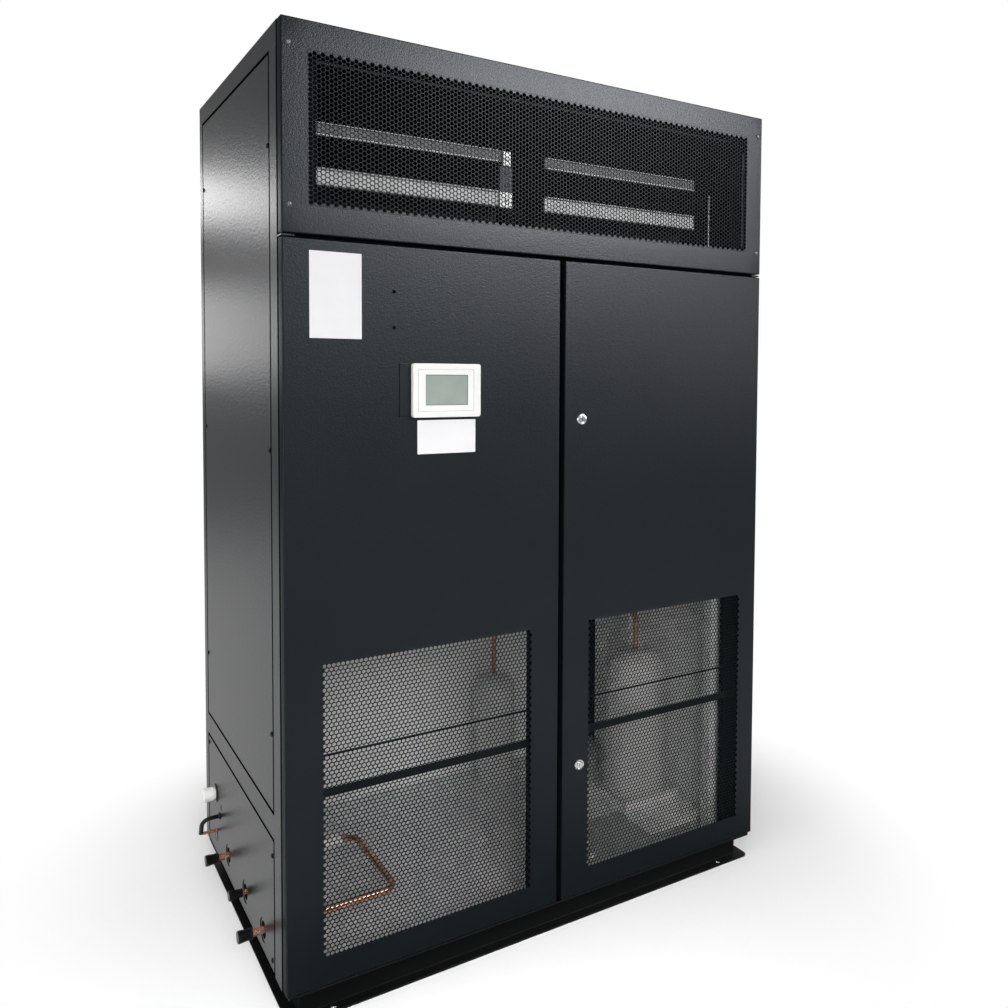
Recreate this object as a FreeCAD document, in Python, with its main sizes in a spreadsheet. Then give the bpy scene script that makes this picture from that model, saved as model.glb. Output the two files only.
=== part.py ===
import FreeCAD, Part
import math
import os
import Sketcher

# Floor-standing precision air conditioner for a server room: a welded cabinet on a channel base, two
# swinging front doors with perforated windows, a perforated outlet panel above them, two centrifugal
# blowers behind that panel, and the cooling circuit, humidifier and switchgear inside.
# Millimetres. X runs along the front to the right, Y from the front to the back, Z up.
# The origin lies on the floor under the middle of the cabinet.

os.makedirs("parts", exist_ok=True)
doc = FreeCAD.newDocument("PrecisionAirConditioner")
sheet = doc.addObject("Spreadsheet::Sheet", "Dim")
pieces = []


class Size:
    """A dimension that carries both its number and its formula in the sheet."""

    def __init__(self, value, formula):
        self.value = float(value)
        self.formula = formula

    def __add__(self, other):
        other = as_size(other)
        return Size(self.value + other.value, f"({self.formula} + {other.formula})")

    def __sub__(self, other):
        other = as_size(other)
        return Size(self.value - other.value, f"({self.formula} - {other.formula})")

    def __mul__(self, other):
        other = as_size(other)
        return Size(self.value * other.value, f"({self.formula} * {other.formula})")

    def __truediv__(self, other):
        other = as_size(other)
        return Size(self.value / other.value, f"({self.formula} / {other.formula})")

    def __radd__(self, other):
        return as_size(other) + self

    def __rsub__(self, other):
        return as_size(other) - self

    def __rmul__(self, other):
        return as_size(other) * self

    def __neg__(self):
        return Size(-self.value, f"(-{self.formula})")


def as_size(number):
    if isinstance(number, Size):
        return number
    return Size(number, f"({float(number):.9f})")


def size(alias, value, note):
    """One row of the sheet: what it is, its number and its name."""
    row = 1
    while sheet.getContents(f"A{row}"):
        row += 1
    sheet.set(f"A{row}", note)
    sheet.set(f"B{row}", str(value))
    sheet.setAlias(f"B{row}", alias)
    return Size(value, f"Dim.{alias}")


def sine(angle):
    return Size(math.sin(math.radians(angle.value)), f"sin({angle.formula})")


def cosine(angle):
    return Size(math.cos(math.radians(angle.value)), f"cos({angle.formula})")


def whole(count):
    """The number rounded down, for the copies of a pattern."""
    return Size(math.floor(count.value), f"floor({count.formula})")


def tie(thing, prop, dimension):
    thing.setExpression(prop, as_size(dimension).formula)


def place(thing, x, y, z):
    tie(thing, ".Placement.Base.x", x)
    tie(thing, ".Placement.Base.y", y)
    tie(thing, ".Placement.Base.z", z)


def new_body(label, x=0, y=0, z=0, axis=(0, 0, 1), angle=0):
    """An empty body, turned about an axis and then moved to its place."""
    body = doc.addObject("PartDesign::Body", label)
    body.Label = label
    turn = FreeCAD.Rotation(FreeCAD.Vector(*axis), as_size(angle).value)
    body.Placement = FreeCAD.Placement(FreeCAD.Vector(), turn)
    place(body, x, y, z)
    if isinstance(angle, Size):
        tie(body, ".Placement.Rotation.Angle", angle)
    pieces.append(body)
    return body


PLANES = {"XY": ("XY_Plane", 1), "XZ": ("XZ_Plane", -1), "YZ": ("YZ_Plane", 1)}


def rect(low_x, low_y, high_x, high_y):
    return [(low_x, low_y), (high_x, low_y), (high_x, high_y), (low_x, high_y)]


def disc(x, y, radius):
    return {"x": x, "y": y, "radius": radius}


def draw_polygon(sketch, points):
    """A closed outline whose corners are all dimensioned from the sketch's origin."""
    first = sketch.GeometryCount
    count = len(points)
    corners = [(as_size(x), as_size(y)) for x, y in points]
    spots = [FreeCAD.Vector(x.value, y.value, 0) for x, y in corners]
    for i in range(count):
        sketch.addGeometry(Part.LineSegment(spots[i], spots[(i + 1) % count]), False)
    for i in range(count):
        sketch.addConstraint(Sketcher.Constraint("Coincident", first + i, 2, first + (i + 1) % count, 1))
    for i, (x, y) in enumerate(corners):
        across = sketch.addConstraint(Sketcher.Constraint("DistanceX", -1, 1, first + i, 1, x.value))
        sketch.setExpression(f"Constraints[{across}]", x.formula)
        along = sketch.addConstraint(Sketcher.Constraint("DistanceY", -1, 1, first + i, 1, y.value))
        sketch.setExpression(f"Constraints[{along}]", y.formula)


def draw_disc(sketch, circle):
    x = as_size(circle["x"])
    y = as_size(circle["y"])
    radius = as_size(circle["radius"])
    centre = FreeCAD.Vector(x.value, y.value, 0)
    index = sketch.addGeometry(Part.Circle(centre, FreeCAD.Vector(0, 0, 1), radius.value), False)
    across = sketch.addConstraint(Sketcher.Constraint("DistanceX", -1, 1, index, 3, x.value))
    sketch.setExpression(f"Constraints[{across}]", x.formula)
    along = sketch.addConstraint(Sketcher.Constraint("DistanceY", -1, 1, index, 3, y.value))
    sketch.setExpression(f"Constraints[{along}]", y.formula)
    round_size = sketch.addConstraint(Sketcher.Constraint("Radius", index, radius.value))
    sketch.setExpression(f"Constraints[{round_size}]", radius.formula)


def draw(body, plane, start, loops):
    role, sense = PLANES[plane]
    sketch = body.newObject("Sketcher::SketchObject", f"{body.Name}_sketch")
    support = [feature for feature in body.Origin.OriginFeatures if feature.Role == role][0]
    sketch.AttachmentSupport = [(support, "")]
    sketch.MapMode = "FlatFace"
    tie(sketch, ".AttachmentOffset.Base.z", sense * as_size(start))
    for loop in loops:
        if isinstance(loop, dict):
            draw_disc(sketch, loop)
        else:
            draw_polygon(sketch, loop)
    return sketch


def pad(body, plane, start, length, *loops):
    """Adds the loops' area from start, over length, along the plane's positive axis."""
    feature = body.newObject("PartDesign::Pad", f"{body.Name}_pad")
    feature.Profile = draw(body, plane, start, loops)
    tie(feature, "Length", length)
    feature.Reversed = PLANES[plane][1] < 0
    body.Tip = feature
    return feature


def pocket(body, plane, start, length, *loops):
    """Cuts the loops' area from start, over length, along the plane's positive axis."""
    feature = body.newObject("PartDesign::Pocket", f"{body.Name}_pocket")
    feature.Profile = draw(body, plane, start, loops)
    tie(feature, "Length", length)
    feature.Reversed = PLANES[plane][1] > 0
    body.Tip = feature
    return feature


def revolve(body, outline):
    """Turns an outline of (radius, height) points about the body's own Z axis."""
    sketch = draw(body, "XZ", 0, [outline])
    feature = body.newObject("PartDesign::Revolution", f"{body.Name}_turn")
    feature.Profile = sketch
    feature.ReferenceAxis = (sketch, ["V_Axis"])
    feature.Angle = 360
    body.Tip = feature
    return feature


def repeat(body, feature, axis, extent, copies):
    """A row of copies of one feature along an axis of its sketch."""
    pattern = body.newObject("PartDesign::LinearPattern", f"{body.Name}_row")
    pattern.Originals = [feature]
    pattern.Direction = (feature.Profile[0], [axis])
    tie(pattern, "Length", extent)
    tie(pattern, "Occurrences", copies)
    body.Tip = pattern
    return pattern


def grid(body, feature, extent_x, copies_x, extent_y, copies_y):
    """Rows and columns of copies of one feature in its sketch's plane."""
    pattern = repeat(body, feature, "H_Axis", extent_x, copies_x)
    pattern.Direction2 = (feature.Profile[0], ["V_Axis"])
    tie(pattern, "Length2", extent_y)
    tie(pattern, "Occurrences2", copies_y)
    return pattern


def round_edges(body, radius, wanted):
    """Rounds those edges of the body's last feature that the test picks."""
    doc.recompute()
    base = body.Tip
    names = [f"Edge{i + 1}" for i, edge in enumerate(base.Shape.Edges) if wanted(edge)]
    feature = body.newObject("PartDesign::Fillet", f"{body.Name}_fillet")
    feature.Base = (base, names)
    tie(feature, "Radius", radius)
    body.Tip = feature
    return feature


def runs_along(axis):
    """A test that picks the straight edges along one axis of the body."""
    def test(edge):
        if len(edge.Vertexes) != 2:
            return False
        reach = edge.Vertexes[1].Point - edge.Vertexes[0].Point
        return abs(abs(reach[axis]) - reach.Length) < 1e-6 and edge.Curve.TypeId == "Part::GeomLine"
    return test


def vector(x, y, z):
    return FreeCAD.Vector(as_size(x).value, as_size(y).value, as_size(z).value)


def new_shape(label, shape):
    """A piece whose outline no sketch holds well, made from the sheet's numbers."""
    thing = doc.addObject("Part::Feature", label)
    thing.Label = label
    thing.Shape = shape
    thing.Placement = FreeCAD.Placement()
    pieces.append(thing)
    return thing


def rod(corners, radius, bend):
    """A round rod along straight runs, with a tangent bend of one radius at each corner."""
    start = corners[0]
    heading = (corners[1] - corners[0]).normalize()
    solids = []
    for before, corner, after in zip(corners, corners[1:], corners[2:]):
        back = (before - corner).normalize()
        ahead = (after - corner).normalize()
        angle = math.pi - back.getAngle(ahead)
        trim = bend * math.tan(angle / 2)
        enter = corner + back * trim
        solids.append(Part.makeCylinder(radius, (enter - start).Length, start, heading))
        hinge = enter + (ahead + back * math.cos(angle)).normalize() * bend
        section = Part.Face(Part.Wire(Part.Circle(enter, heading, radius).toShape()))
        solids.append(section.revolve(hinge, heading.cross(ahead), math.degrees(angle)))
        start = corner + ahead * trim
        heading = ahead
    solids.append(Part.makeCylinder(radius, (corners[-1] - start).Length, start, heading))
    return solids[0].fuse(solids[1:]).removeSplitter()


# Cabinet: overall sizes and the planes that the pieces share.
width = size("width", 1200, "cabinet from side to side")
depth = size("depth", 800, "cabinet from door face to back")
height = size("height", 1950, "floor to top")
door_depth = size("door_depth", 25, "folded door from face to back")
seal_gap = size("seal_gap", 10, "space for the seal between door and frame")
half_width = width / 2
front = -depth / 2
back = depth / 2
frame_front = front + door_depth + seal_gap

# Base: a channel frame with its web set back, and a galvanised floor on it.
base_height = size("base_height", 60, "channel base")
base_sheet = size("base_sheet", 4, "channel base, wall")
base_inset = size("base_inset", 6, "channel base inside the cabinet's outline")
base_flange = size("base_flange", 64, "flanges of the channel base")
base_recess = size("base_recess", 26, "web behind the flanges' outer edge")
base_corner = size("base_corner", 12, "corner radius of the bottom flange")
anchor_bore = size("anchor_bore", 13, "anchor hole")
anchor_edge = size("anchor_edge", 13, "anchor hole from the flange's outer edge")
anchor_end = size("anchor_end", 90, "anchor hole from the end of its side")
floor_sheet = size("floor_sheet", 2, "floor plate")
spill_x = size("spill_x", 370, "spill plate's left edge from the cabinet's middle")
spill_wide = size("spill_wide", 180, "spill plate across")
spill_front = size("spill_front", 140, "spill plate from the door face")
spill_deep = size("spill_deep", 110, "spill plate, front to back")
spill_sheet = size("spill_sheet", 3, "spill plate")
base_x = half_width - base_inset
base_y = back - base_inset
floor_top = base_height + floor_sheet

# Front: the doors reach from the floor plate up to the outlet panel, which has a height of its own.
grille_tall = size("grille_tall", 401, "outlet panel")
panel_gap = size("panel_gap", 8, "gap between doors and outlet panel")
door_play = size("door_play", 4, "door above the floor plate")
grille_low = height - grille_tall
door_low = floor_top + door_play
door_high = grille_low - panel_gap
door_height = door_high - door_low


def footprint(inset):
    return rect(inset - base_x, inset - base_y, base_x - inset, base_y - inset)


base = new_body("base_frame")
pad(base, "XY", 0, base_sheet, footprint(as_size(0)))
round_edges(base, base_corner, runs_along(2))
pocket(base, "XY", 0, base_sheet, footprint(base_flange))
pad(base, "XY", base_sheet, base_height - 2 * base_sheet,
    footprint(base_recess), footprint(base_recess + base_sheet))
pad(base, "XY", base_height - base_sheet, base_sheet, footprint(as_size(0)), footprint(base_flange))
anchor_x = base_x - anchor_end
anchor_y = base_y - anchor_edge
anchors = [disc(side * anchor_x, end * anchor_y, anchor_bore / 2) for side in (-1, 1) for end in (-1, 1)]
pocket(base, "XY", 0, base_sheet, *anchors)

floor = new_body("floor_pan")
pad(floor, "XY", base_height, floor_sheet, footprint(as_size(0)))
pad(floor, "XY", floor_top, spill_sheet,
    rect(spill_x, front + spill_front, spill_x + spill_wide, front + spill_front + spill_deep))

# Frame: four folded posts, rails between them, and a ring of rails on top.
frame_sheet = size("frame_sheet", 2, "frame sheet")
front_face = size("front_face", 74, "front post across the front")
post_face = size("post_face", 40, "rear post across the back")
post_side = size("post_side", 54, "front post along the side")
rear_side = size("rear_side", 35, "rear post along the side")
post_return = size("post_return", 16, "front post's inward fold")
rebate = size("rebate", 16, "recess that takes a panel")
seat = size("seat", 14, "flange behind a panel")
top_rail = size("top_rail", 43, "top rail")
top_flange = size("top_flange", 34, "top rail's inward fold")
cover_sheet = size("cover_sheet", 2, "top cover")
cross_rail = size("cross_rail", 52, "rail between upper and lower panels")
cross_rail_low = size("cross_rail_low", 345, "that rail's lower edge above the floor")
top_low = height - cover_sheet - top_rail
cross_rail_high = cross_rail_low + cross_rail
side_front = frame_front + post_side
side_back = back - rear_side
front_half = half_width - front_face
panel_half = half_width - post_face

for name, side in (("left", -1), ("right", 1)):
    outer = side * half_width
    edge = side * front_half
    inner = side * panel_half
    skin = side * frame_sheet
    step = side * (half_width - rebate)
    post = new_body(f"front_post_{name}")
    pad(post, "XY", floor_top, top_low - floor_top, [
        (edge, frame_front + post_return),
        (edge, frame_front),
        (outer, frame_front),
        (outer, side_front),
        (step, side_front),
        (step, side_front + seat),
        (step - skin, side_front + seat),
        (step - skin, side_front - frame_sheet),
        (outer - skin, side_front - frame_sheet),
        (outer - skin, frame_front + frame_sheet),
        (edge + skin, frame_front + frame_sheet),
        (edge + skin, frame_front + post_return),
    ])
    post = new_body(f"rear_post_{name}")
    pad(post, "XY", floor_top, top_low - floor_top, [
        (step, side_back - seat),
        (step, side_back),
        (outer, side_back),
        (outer, back),
        (inner, back),
        (inner, back - rebate),
        (inner - side * seat, back - rebate),
        (inner - side * seat, back - rebate - frame_sheet),
        (inner + skin, back - rebate - frame_sheet),
        (inner + skin, back - frame_sheet),
        (outer - skin, back - frame_sheet),
        (outer - skin, side_back + frame_sheet),
        (step - skin, side_back + frame_sheet),
        (step - skin, side_back - seat),
    ])
    rail = new_body(f"side_rail_{name}")
    pad(rail, "XZ", side_front, side_back - side_front, [
        (outer, cross_rail_low),
        (outer, cross_rail_high),
        (step, cross_rail_high),
        (step, cross_rail_high - frame_sheet),
        (outer - skin, cross_rail_high - frame_sheet),
        (outer - skin, cross_rail_low + frame_sheet),
        (step, cross_rail_low + frame_sheet),
        (step, cross_rail_low),
    ])

rail = new_body("rear_rail")
pad(rail, "YZ", -panel_half, 2 * panel_half, [
    (back, cross_rail_low),
    (back, cross_rail_high),
    (back - rebate, cross_rail_high),
    (back - rebate, cross_rail_high - frame_sheet),
    (back - frame_sheet, cross_rail_high - frame_sheet),
    (back - frame_sheet, cross_rail_low + frame_sheet),
    (back - rebate, cross_rail_low + frame_sheet),
    (back - rebate, cross_rail_low),
])


def top_outline(inset):
    return rect(inset - half_width, frame_front + inset, half_width - inset, back - inset)


top_frame = new_body("top_frame")
pad(top_frame, "XY", top_low, frame_sheet, top_outline(as_size(0)), top_outline(top_flange))
pad(top_frame, "XY", top_low, top_rail, top_outline(as_size(0)), top_outline(frame_sheet))
pad(top_frame, "XY", top_low + top_rail - frame_sheet, frame_sheet,
    top_outline(as_size(0)), top_outline(top_flange))

# Front members behind the doors: sill, header and a hat-shaped centre post.
sill_height = size("sill_height", 12, "front sill")
sill_depth = size("sill_depth", 36, "front sill and header, front to back")
header_lap = size("header_lap", 43, "front header below the doors' upper edge")
header_height = size("header_height", 100, "front header")
center_left = size("center_left", 59, "centre post's left flange from the middle")
center_right = size("center_right", 46, "centre post's right flange from the middle")
center_box = size("center_box", 36, "centre post across its box")
center_depth = size("center_depth", 36, "centre post, front to back")
sill_top = floor_top + sill_height
header_low = door_high - header_lap
header_top = header_low + header_height


def channel(label, low, high):
    """A channel along the front, open to the back."""
    body = new_body(label)
    rear = frame_front + sill_depth
    pad(body, "YZ", -front_half, 2 * front_half, [
        (frame_front, low),
        (rear, low),
        (rear, low + frame_sheet),
        (frame_front + frame_sheet, low + frame_sheet),
        (frame_front + frame_sheet, high - frame_sheet),
        (rear, high - frame_sheet),
        (rear, high),
        (frame_front, high),
    ])


channel("front_sill", floor_top, sill_top)
channel("front_header", header_low, header_top)

center = new_body("center_post")
flange_back = frame_front + frame_sheet
pad(center, "XY", sill_top, header_low - sill_top, [
    (-center_left, frame_front),
    (center_right, frame_front),
    (center_right, flange_back),
    (center_box / 2, flange_back),
    (center_box / 2, frame_front + center_depth),
    (-center_box / 2, frame_front + center_depth),
    (-center_box / 2, flange_back),
    (-center_left, flange_back),
], rect(frame_sheet - center_box / 2, flange_back,
        center_box / 2 - frame_sheet, frame_front + center_depth - frame_sheet))

# Panels: folded pans, flush with the frame, seated on the posts' flanges.
panel_sheet = size("panel_sheet", 1.5, "panel sheet")
panel_play = size("panel_play", 4, "gap round an inset panel")
panel_lip = size("panel_lip", 16, "panel's rear lip")


def pan(body, across, tall, deep, thick, lip, *holes):
    """A folded pan: face on the body's XZ plane, sides and lips towards +Y."""
    pad(body, "XZ", 0, thick, rect(as_size(0), as_size(0), across, tall), *holes)
    pad(body, "XZ", thick, deep - thick, rect(as_size(0), as_size(0), across, tall),
        rect(thick, thick, across - thick, tall - thick))
    pad(body, "XZ", deep - thick, thick, rect(as_size(0), as_size(0), across, tall),
        rect(lip, lip, across - lip, tall - lip))


# Pipe and hose passages of the lower left panel, as places along Y and heights above the floor.
passage_bore = size("passage_bore", 50, "pipe passage")
gas_back = size("gas_back", 266, "discharge stub from the cabinet's back")
gas_z = size("gas_z", 119, "discharge stub above the floor")
liquid_front = size("liquid_front", 356, "liquid stub from the door face")
liquid_z = size("liquid_z", 113, "liquid stub above the floor")
suction_front = size("suction_front", 189, "suction stub from the door face")
suction_z = size("suction_z", 110, "suction stub above the floor")
water_back = size("water_back", 125, "water inlet from the cabinet's back")
water_z = size("water_z", 218, "water inlet above the floor")
water_bore = size("water_bore", 40, "water inlet passage")
drain_back = size("drain_back", 168, "drain hose from the cabinet's back")
drain_z = size("drain_z", 176, "drain hose above the floor")
hose_radius = size("hose_radius", 5, "drain hose")
hose_play = size("hose_play", 0.3, "drain hose's clearance in its passage")
drain_bore = 2 * (hose_radius + hose_play)
gas_y = back - gas_back
liquid_y = front + liquid_front
suction_y = front + suction_front
water_y = back - water_back
drain_y = back - drain_back
lower_low = floor_top + panel_play
lower_high = cross_rail_low - panel_play
upper_low = cross_rail_high + panel_play
upper_high = top_low - panel_play
side_length = side_back - side_front - 2 * panel_play
rear_length = 2 * (panel_half - panel_play)


def passage(along, up, bore):
    """A round hole of the lower left panel; its pan runs from the back to the front."""
    return disc(side_back - panel_play - along, up - lower_low, bore / 2)


passages = [
    passage(gas_y, gas_z, passage_bore),
    passage(liquid_y, liquid_z, passage_bore),
    passage(suction_y, suction_z, passage_bore),
    passage(water_y, water_z, water_bore),
    passage(drain_y, drain_z, drain_bore),
]
for name, low, high in (("lower", lower_low, lower_high), ("upper", upper_low, upper_high)):
    panel = new_body(f"{name}_panel_left", -half_width, side_back - panel_play, low, angle=-90)
    holes = passages if name == "lower" else []
    pan(panel, side_length, high - low, rebate, panel_sheet, panel_lip, *holes)
    panel = new_body(f"{name}_panel_right", half_width, side_front + panel_play, low, angle=90)
    pan(panel, side_length, high - low, rebate, panel_sheet, panel_lip)
    panel = new_body(f"{name}_panel_rear", panel_half - panel_play, back, low, angle=180)
    pan(panel, rear_length, high - low, rebate, panel_sheet, panel_lip)

# Insulation boards: foil-faced foam in the pans of the side and rear panels, clear of the passages.
board_deep = size("board_deep", 12, "insulation board")
board_play = size("board_play", 2, "insulation board inside a panel's lips")
board_edge = panel_play + panel_lip + board_play
boards = new_body("insulation_boards")
side_boards = []
rear_boards = []
for low, high in ((lower_low, lower_high), (upper_low, upper_high)):
    board_low = low + panel_lip + board_play
    board_high = high - panel_lip - board_play
    side_boards.append(rect(side_front + board_edge, board_low, side_back - board_edge, board_high))
    rear_boards.append(rect(board_edge - panel_half, board_low, panel_half - board_edge, board_high))
pad(boards, "YZ", half_width - panel_sheet - board_deep, board_deep, *side_boards)
pad(boards, "YZ", panel_sheet - half_width, board_deep, side_boards[1])
pad(boards, "XZ", back - panel_sheet - board_deep, board_deep, *rear_boards)

cover = new_body("top_cover")
pad(cover, "XY", height - cover_sheet, cover_sheet,
    rect(-half_width, front + door_depth + panel_play, half_width, back))

# Perforated fields: staggered hexagonal holes, point up.
hole_across = size("hole_across", 60, "perforation, across its points")
hole_pitch = size("hole_pitch", 76, "perforation, from hole to hole in a row")
row_pitch = hole_pitch * math.sqrt(3) / 2


def perforate(body, low_x, low_z, high_x, high_z, thick):
    """Punches a field with two sets of rows, the second half a pitch over."""
    span_x = high_x - low_x
    span_z = high_z - low_z
    columns = whole((span_x - hole_across) / hole_pitch - 0.5)
    rows = whole(((span_z - hole_across) / row_pitch + 1) / 2)
    block_x = columns * hole_pitch + hole_pitch / 2
    block_z = (2 * rows - 1) * row_pitch
    first_x = low_x + (span_x - block_x) / 2
    first_z = low_z + (span_z - block_z) / 2
    for shift_x, shift_z in ((as_size(0), as_size(0)), (hole_pitch / 2, row_pitch)):
        corners = []
        for k in range(6):
            turn = math.radians(90 + 60 * k)
            corners.append((first_x + shift_x + hole_across / 2 * math.cos(turn),
                            first_z + shift_z + hole_across / 2 * math.sin(turn)))
        hole = pocket(body, "XZ", 0, thick, corners)
        grid(body, hole, columns * hole_pitch, columns + 1, (rows - 1) * 2 * row_pitch, rows)


# Outlet panel above the doors, held off the frame by stand-offs.
grille_margin_x = size("grille_margin_x", 49, "outlet field from the panel's ends")
grille_margin_z = size("grille_margin_z", 54, "outlet field from the panel's upper and lower edge")
door_sheet = size("door_sheet", 1.5, "door and outlet panel sheet")
door_lip = size("door_lip", 30, "door's rear lip")
spacer_wide = size("spacer_wide", 16, "stand-off across")
spacer_inset = size("spacer_inset", 16, "stand-off from the panel's edges")

grille = new_body("outlet_panel", -half_width, front, grille_low)
pan(grille, width, grille_tall, door_depth, door_sheet, door_lip)
perforate(grille, grille_margin_x, grille_margin_z, width - grille_margin_x,
          grille_tall - grille_margin_z, door_sheet)

spacers = new_body("panel_standoffs")
spacer_low = grille_low + spacer_inset
spacer_high = height - spacer_inset
spots = []
for across in (-1, 0, 1):
    for up in (spacer_low, spacer_high):
        x = across * (half_width - spacer_inset)
        spots.append(rect(x - spacer_wide / 2, up - spacer_wide / 2,
                          x + spacer_wide / 2, up + spacer_wide / 2))
pad(spacers, "XZ", front + door_depth, seal_gap, *spots)

# Doors: folded pans on pivot pins, with welded pivot blocks and a flat bar across the back.
door_split = size("door_split", 13, "gap between the doors")
split_x = size("split_x", 9, "gap's middle from the cabinet's middle")
window_edge = size("window_edge", 68, "door window from the door's free edge")
window_sill = size("window_sill", 55, "door window from the door's lower edge")
window_width = size("window_width", 463, "door window across")
window_height = size("window_height", 596, "door window")
pivot_inset = size("pivot_inset", 12, "pivot axis from the door's outer edge and face")
pivot_radius = size("pivot_radius", 4, "pivot pin")
pivot_reach = size("pivot_reach", 24, "pivot pin inside the door")
pivot_fit = size("pivot_fit", 0.05, "pivot pin's running clearance")
pivot_end_play = size("pivot_end_play", 1, "pivot pin short of its bore's end")
pivot_rest = size("pivot_rest", 0.3, "door above its lower collar")
collar_radius = size("collar_radius", 9, "pivot collar")
block_size = size("block_size", 24, "pivot block across")
block_height = size("block_height", 30, "pivot block")
bar_low = size("bar_low", 436, "stiffening bar's lower edge above the floor")
bar_height = size("bar_height", 17, "stiffening bar")
bar_sheet = size("bar_sheet", 4, "stiffening bar, thickness")
bar_lap = size("bar_lap", 1, "stiffening bar on the door's lips")
seal_width = size("seal_width", 14, "door seal")
seal_inset = size("seal_inset", 15, "door seal from the door's edge")
seal_play = size("seal_play", 0.5, "door seal short of the frame")
lock_edge = size("lock_edge", 45, "lock axis from the right door's free edge")
lock_upper_z = size("lock_upper_z", 1183, "upper lock above the floor")
lock_lower_z = size("lock_lower_z", 376, "lower lock above the floor")
lock_radius = size("lock_radius", 9, "lock barrel")
panel_cut_x = size("panel_cut_x", 276, "controller opening from the cabinet's left side")
panel_cut_z = size("panel_cut_z", 1208, "controller opening above the floor")
panel_cut_wide = size("panel_cut_wide", 104, "controller opening, across")
panel_cut_tall = size("panel_cut_tall", 86, "controller opening")
left_width = half_width + split_x - door_split / 2
right_width = half_width - split_x - door_split / 2
right_edge = split_x + door_split / 2
pivot_x = half_width - pivot_inset
pivot_y = front + pivot_inset
lock_x = right_edge + lock_edge


def door(label, left_edge, door_width, pivot_end, holes):
    """One door; pivot_end is 0 where the pivot is at the left edge and 1 at the right edge."""
    body = new_body(label, left_edge, front, door_low)
    pan(body, door_width, door_height, door_depth, door_sheet, door_lip, *holes)
    block_x = pivot_end * (door_width - block_size)
    for low in (as_size(0), door_height - block_height):
        pad(body, "XY", low, block_height, rect(block_x, as_size(0), block_x + block_size, door_depth))
    pad(body, "XZ", door_depth, bar_sheet,
        rect(door_lip - bar_lap, bar_low - door_low,
             door_width - door_lip + bar_lap, bar_low - door_low + bar_height))
    axis_x = pivot_inset + pivot_end * (door_width - 2 * pivot_inset)
    bore_deep = pivot_reach + pivot_end_play
    for low in (as_size(0), door_height - bore_deep):
        pocket(body, "XY", low, bore_deep, disc(axis_x, pivot_inset, pivot_radius + pivot_fit))
    window_x = window_edge + (1 - pivot_end) * (door_width - window_width - 2 * window_edge)
    perforate(body, window_x, window_sill, window_x + window_width, window_sill + window_height, door_sheet)


cut_x = panel_cut_x
cut_z = panel_cut_z - door_low
panel_cut = rect(cut_x, cut_z, cut_x + panel_cut_wide, cut_z + panel_cut_tall)
door("left_door", -half_width, left_width, 0, [panel_cut])
lock_bores = [disc(lock_edge, up - door_low, lock_radius) for up in (lock_upper_z, lock_lower_z)]
door("right_door", right_edge, right_width, 1, lock_bores)

for name, left_edge, door_width in (("left", -half_width, left_width), ("right", right_edge, right_width)):
    seal = new_body(f"{name}_door_seal", left_edge, front + door_depth, door_low)
    inside = seal_inset + seal_width
    pad(seal, "XZ", 0, seal_gap - seal_play,
        rect(seal_inset, seal_inset, door_width - seal_inset, door_height - seal_inset),
        rect(inside, inside, door_width - inside, door_height - inside))

# Pivot pins: collared pins on the floor plate, and bracket plates on the header with pins down.
bracket_width = size("bracket_width", 24, "upper pivot bracket across")
bracket_nose = size("bracket_nose", 8, "upper pivot bracket in front of its pin")
bracket_sheet = size("bracket_sheet", 4, "upper pivot bracket, thickness")
bracket_rise = size("bracket_rise", 2, "upper pivot bracket above the door")
pins = new_body("lower_pivots")
pin_spots = [(-pivot_x, pivot_y), (pivot_x, pivot_y)]
pad(pins, "XY", floor_top, door_play - pivot_rest, *[disc(x, y, collar_radius) for x, y in pin_spots])
pad(pins, "XY", floor_top, door_play + pivot_reach, *[disc(x, y, pivot_radius) for x, y in pin_spots])

brackets = new_body("upper_pivots")
bracket_low = door_high + bracket_rise
plates = []
for x, y in pin_spots:
    plates.append(rect(x - bracket_width / 2, y - bracket_nose, x + bracket_width / 2, frame_front))
pad(brackets, "XY", bracket_low, bracket_sheet, *plates)
pad(brackets, "XY", door_high - pivot_reach, pivot_reach + bracket_rise,
    *[disc(x, y, pivot_radius) for x, y in pin_spots])

# Controller: a white touch-panel housing over a dark adapter plate on the left door.
adapter_x = size("adapter_x", 228, "adapter plate from the cabinet's left side")
adapter_wide = size("adapter_wide", 168, "adapter plate across")
adapter_low = size("adapter_low", 1197.5, "adapter plate above the floor")
adapter_tall = size("adapter_tall", 108, "adapter plate")
adapter_sheet = size("adapter_sheet", 2, "adapter plate, thickness")
housing_x = size("housing_x", 252, "controller from the cabinet's left side")
housing_wide = size("housing_wide", 150, "controller across")
housing_low = size("housing_low", 1195, "controller above the floor")
housing_tall = size("housing_tall", 111, "controller")
housing_deep = size("housing_deep", 11, "controller in front of its plate")
housing_corner = size("housing_corner", 6, "controller's corner radius")
housing_edge = size("housing_edge", 2, "controller's front edge radius")
housing_rear = size("housing_rear", 30, "controller behind its plate")
screen_x = size("screen_x", 280, "screen from the cabinet's left side")
screen_wide = size("screen_wide", 91, "screen across")
screen_low = size("screen_low", 1221, "screen above the floor")
screen_tall = size("screen_tall", 61, "screen")
screen_sheet = size("screen_sheet", 1.5, "screen, thickness")
screen_recess = size("screen_recess", 2.5, "screen's recess in the controller")
cut_play = size("cut_play", 2, "controller's rear box inside its opening")

adapter = new_body("controller_plate", -half_width, front - adapter_sheet, 0)
pad(adapter, "XZ", 0, adapter_sheet,
    rect(adapter_x, adapter_low, adapter_x + adapter_wide, adapter_low + adapter_tall),
    rect(panel_cut_x, panel_cut_z, panel_cut_x + panel_cut_wide, panel_cut_z + panel_cut_tall))

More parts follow.
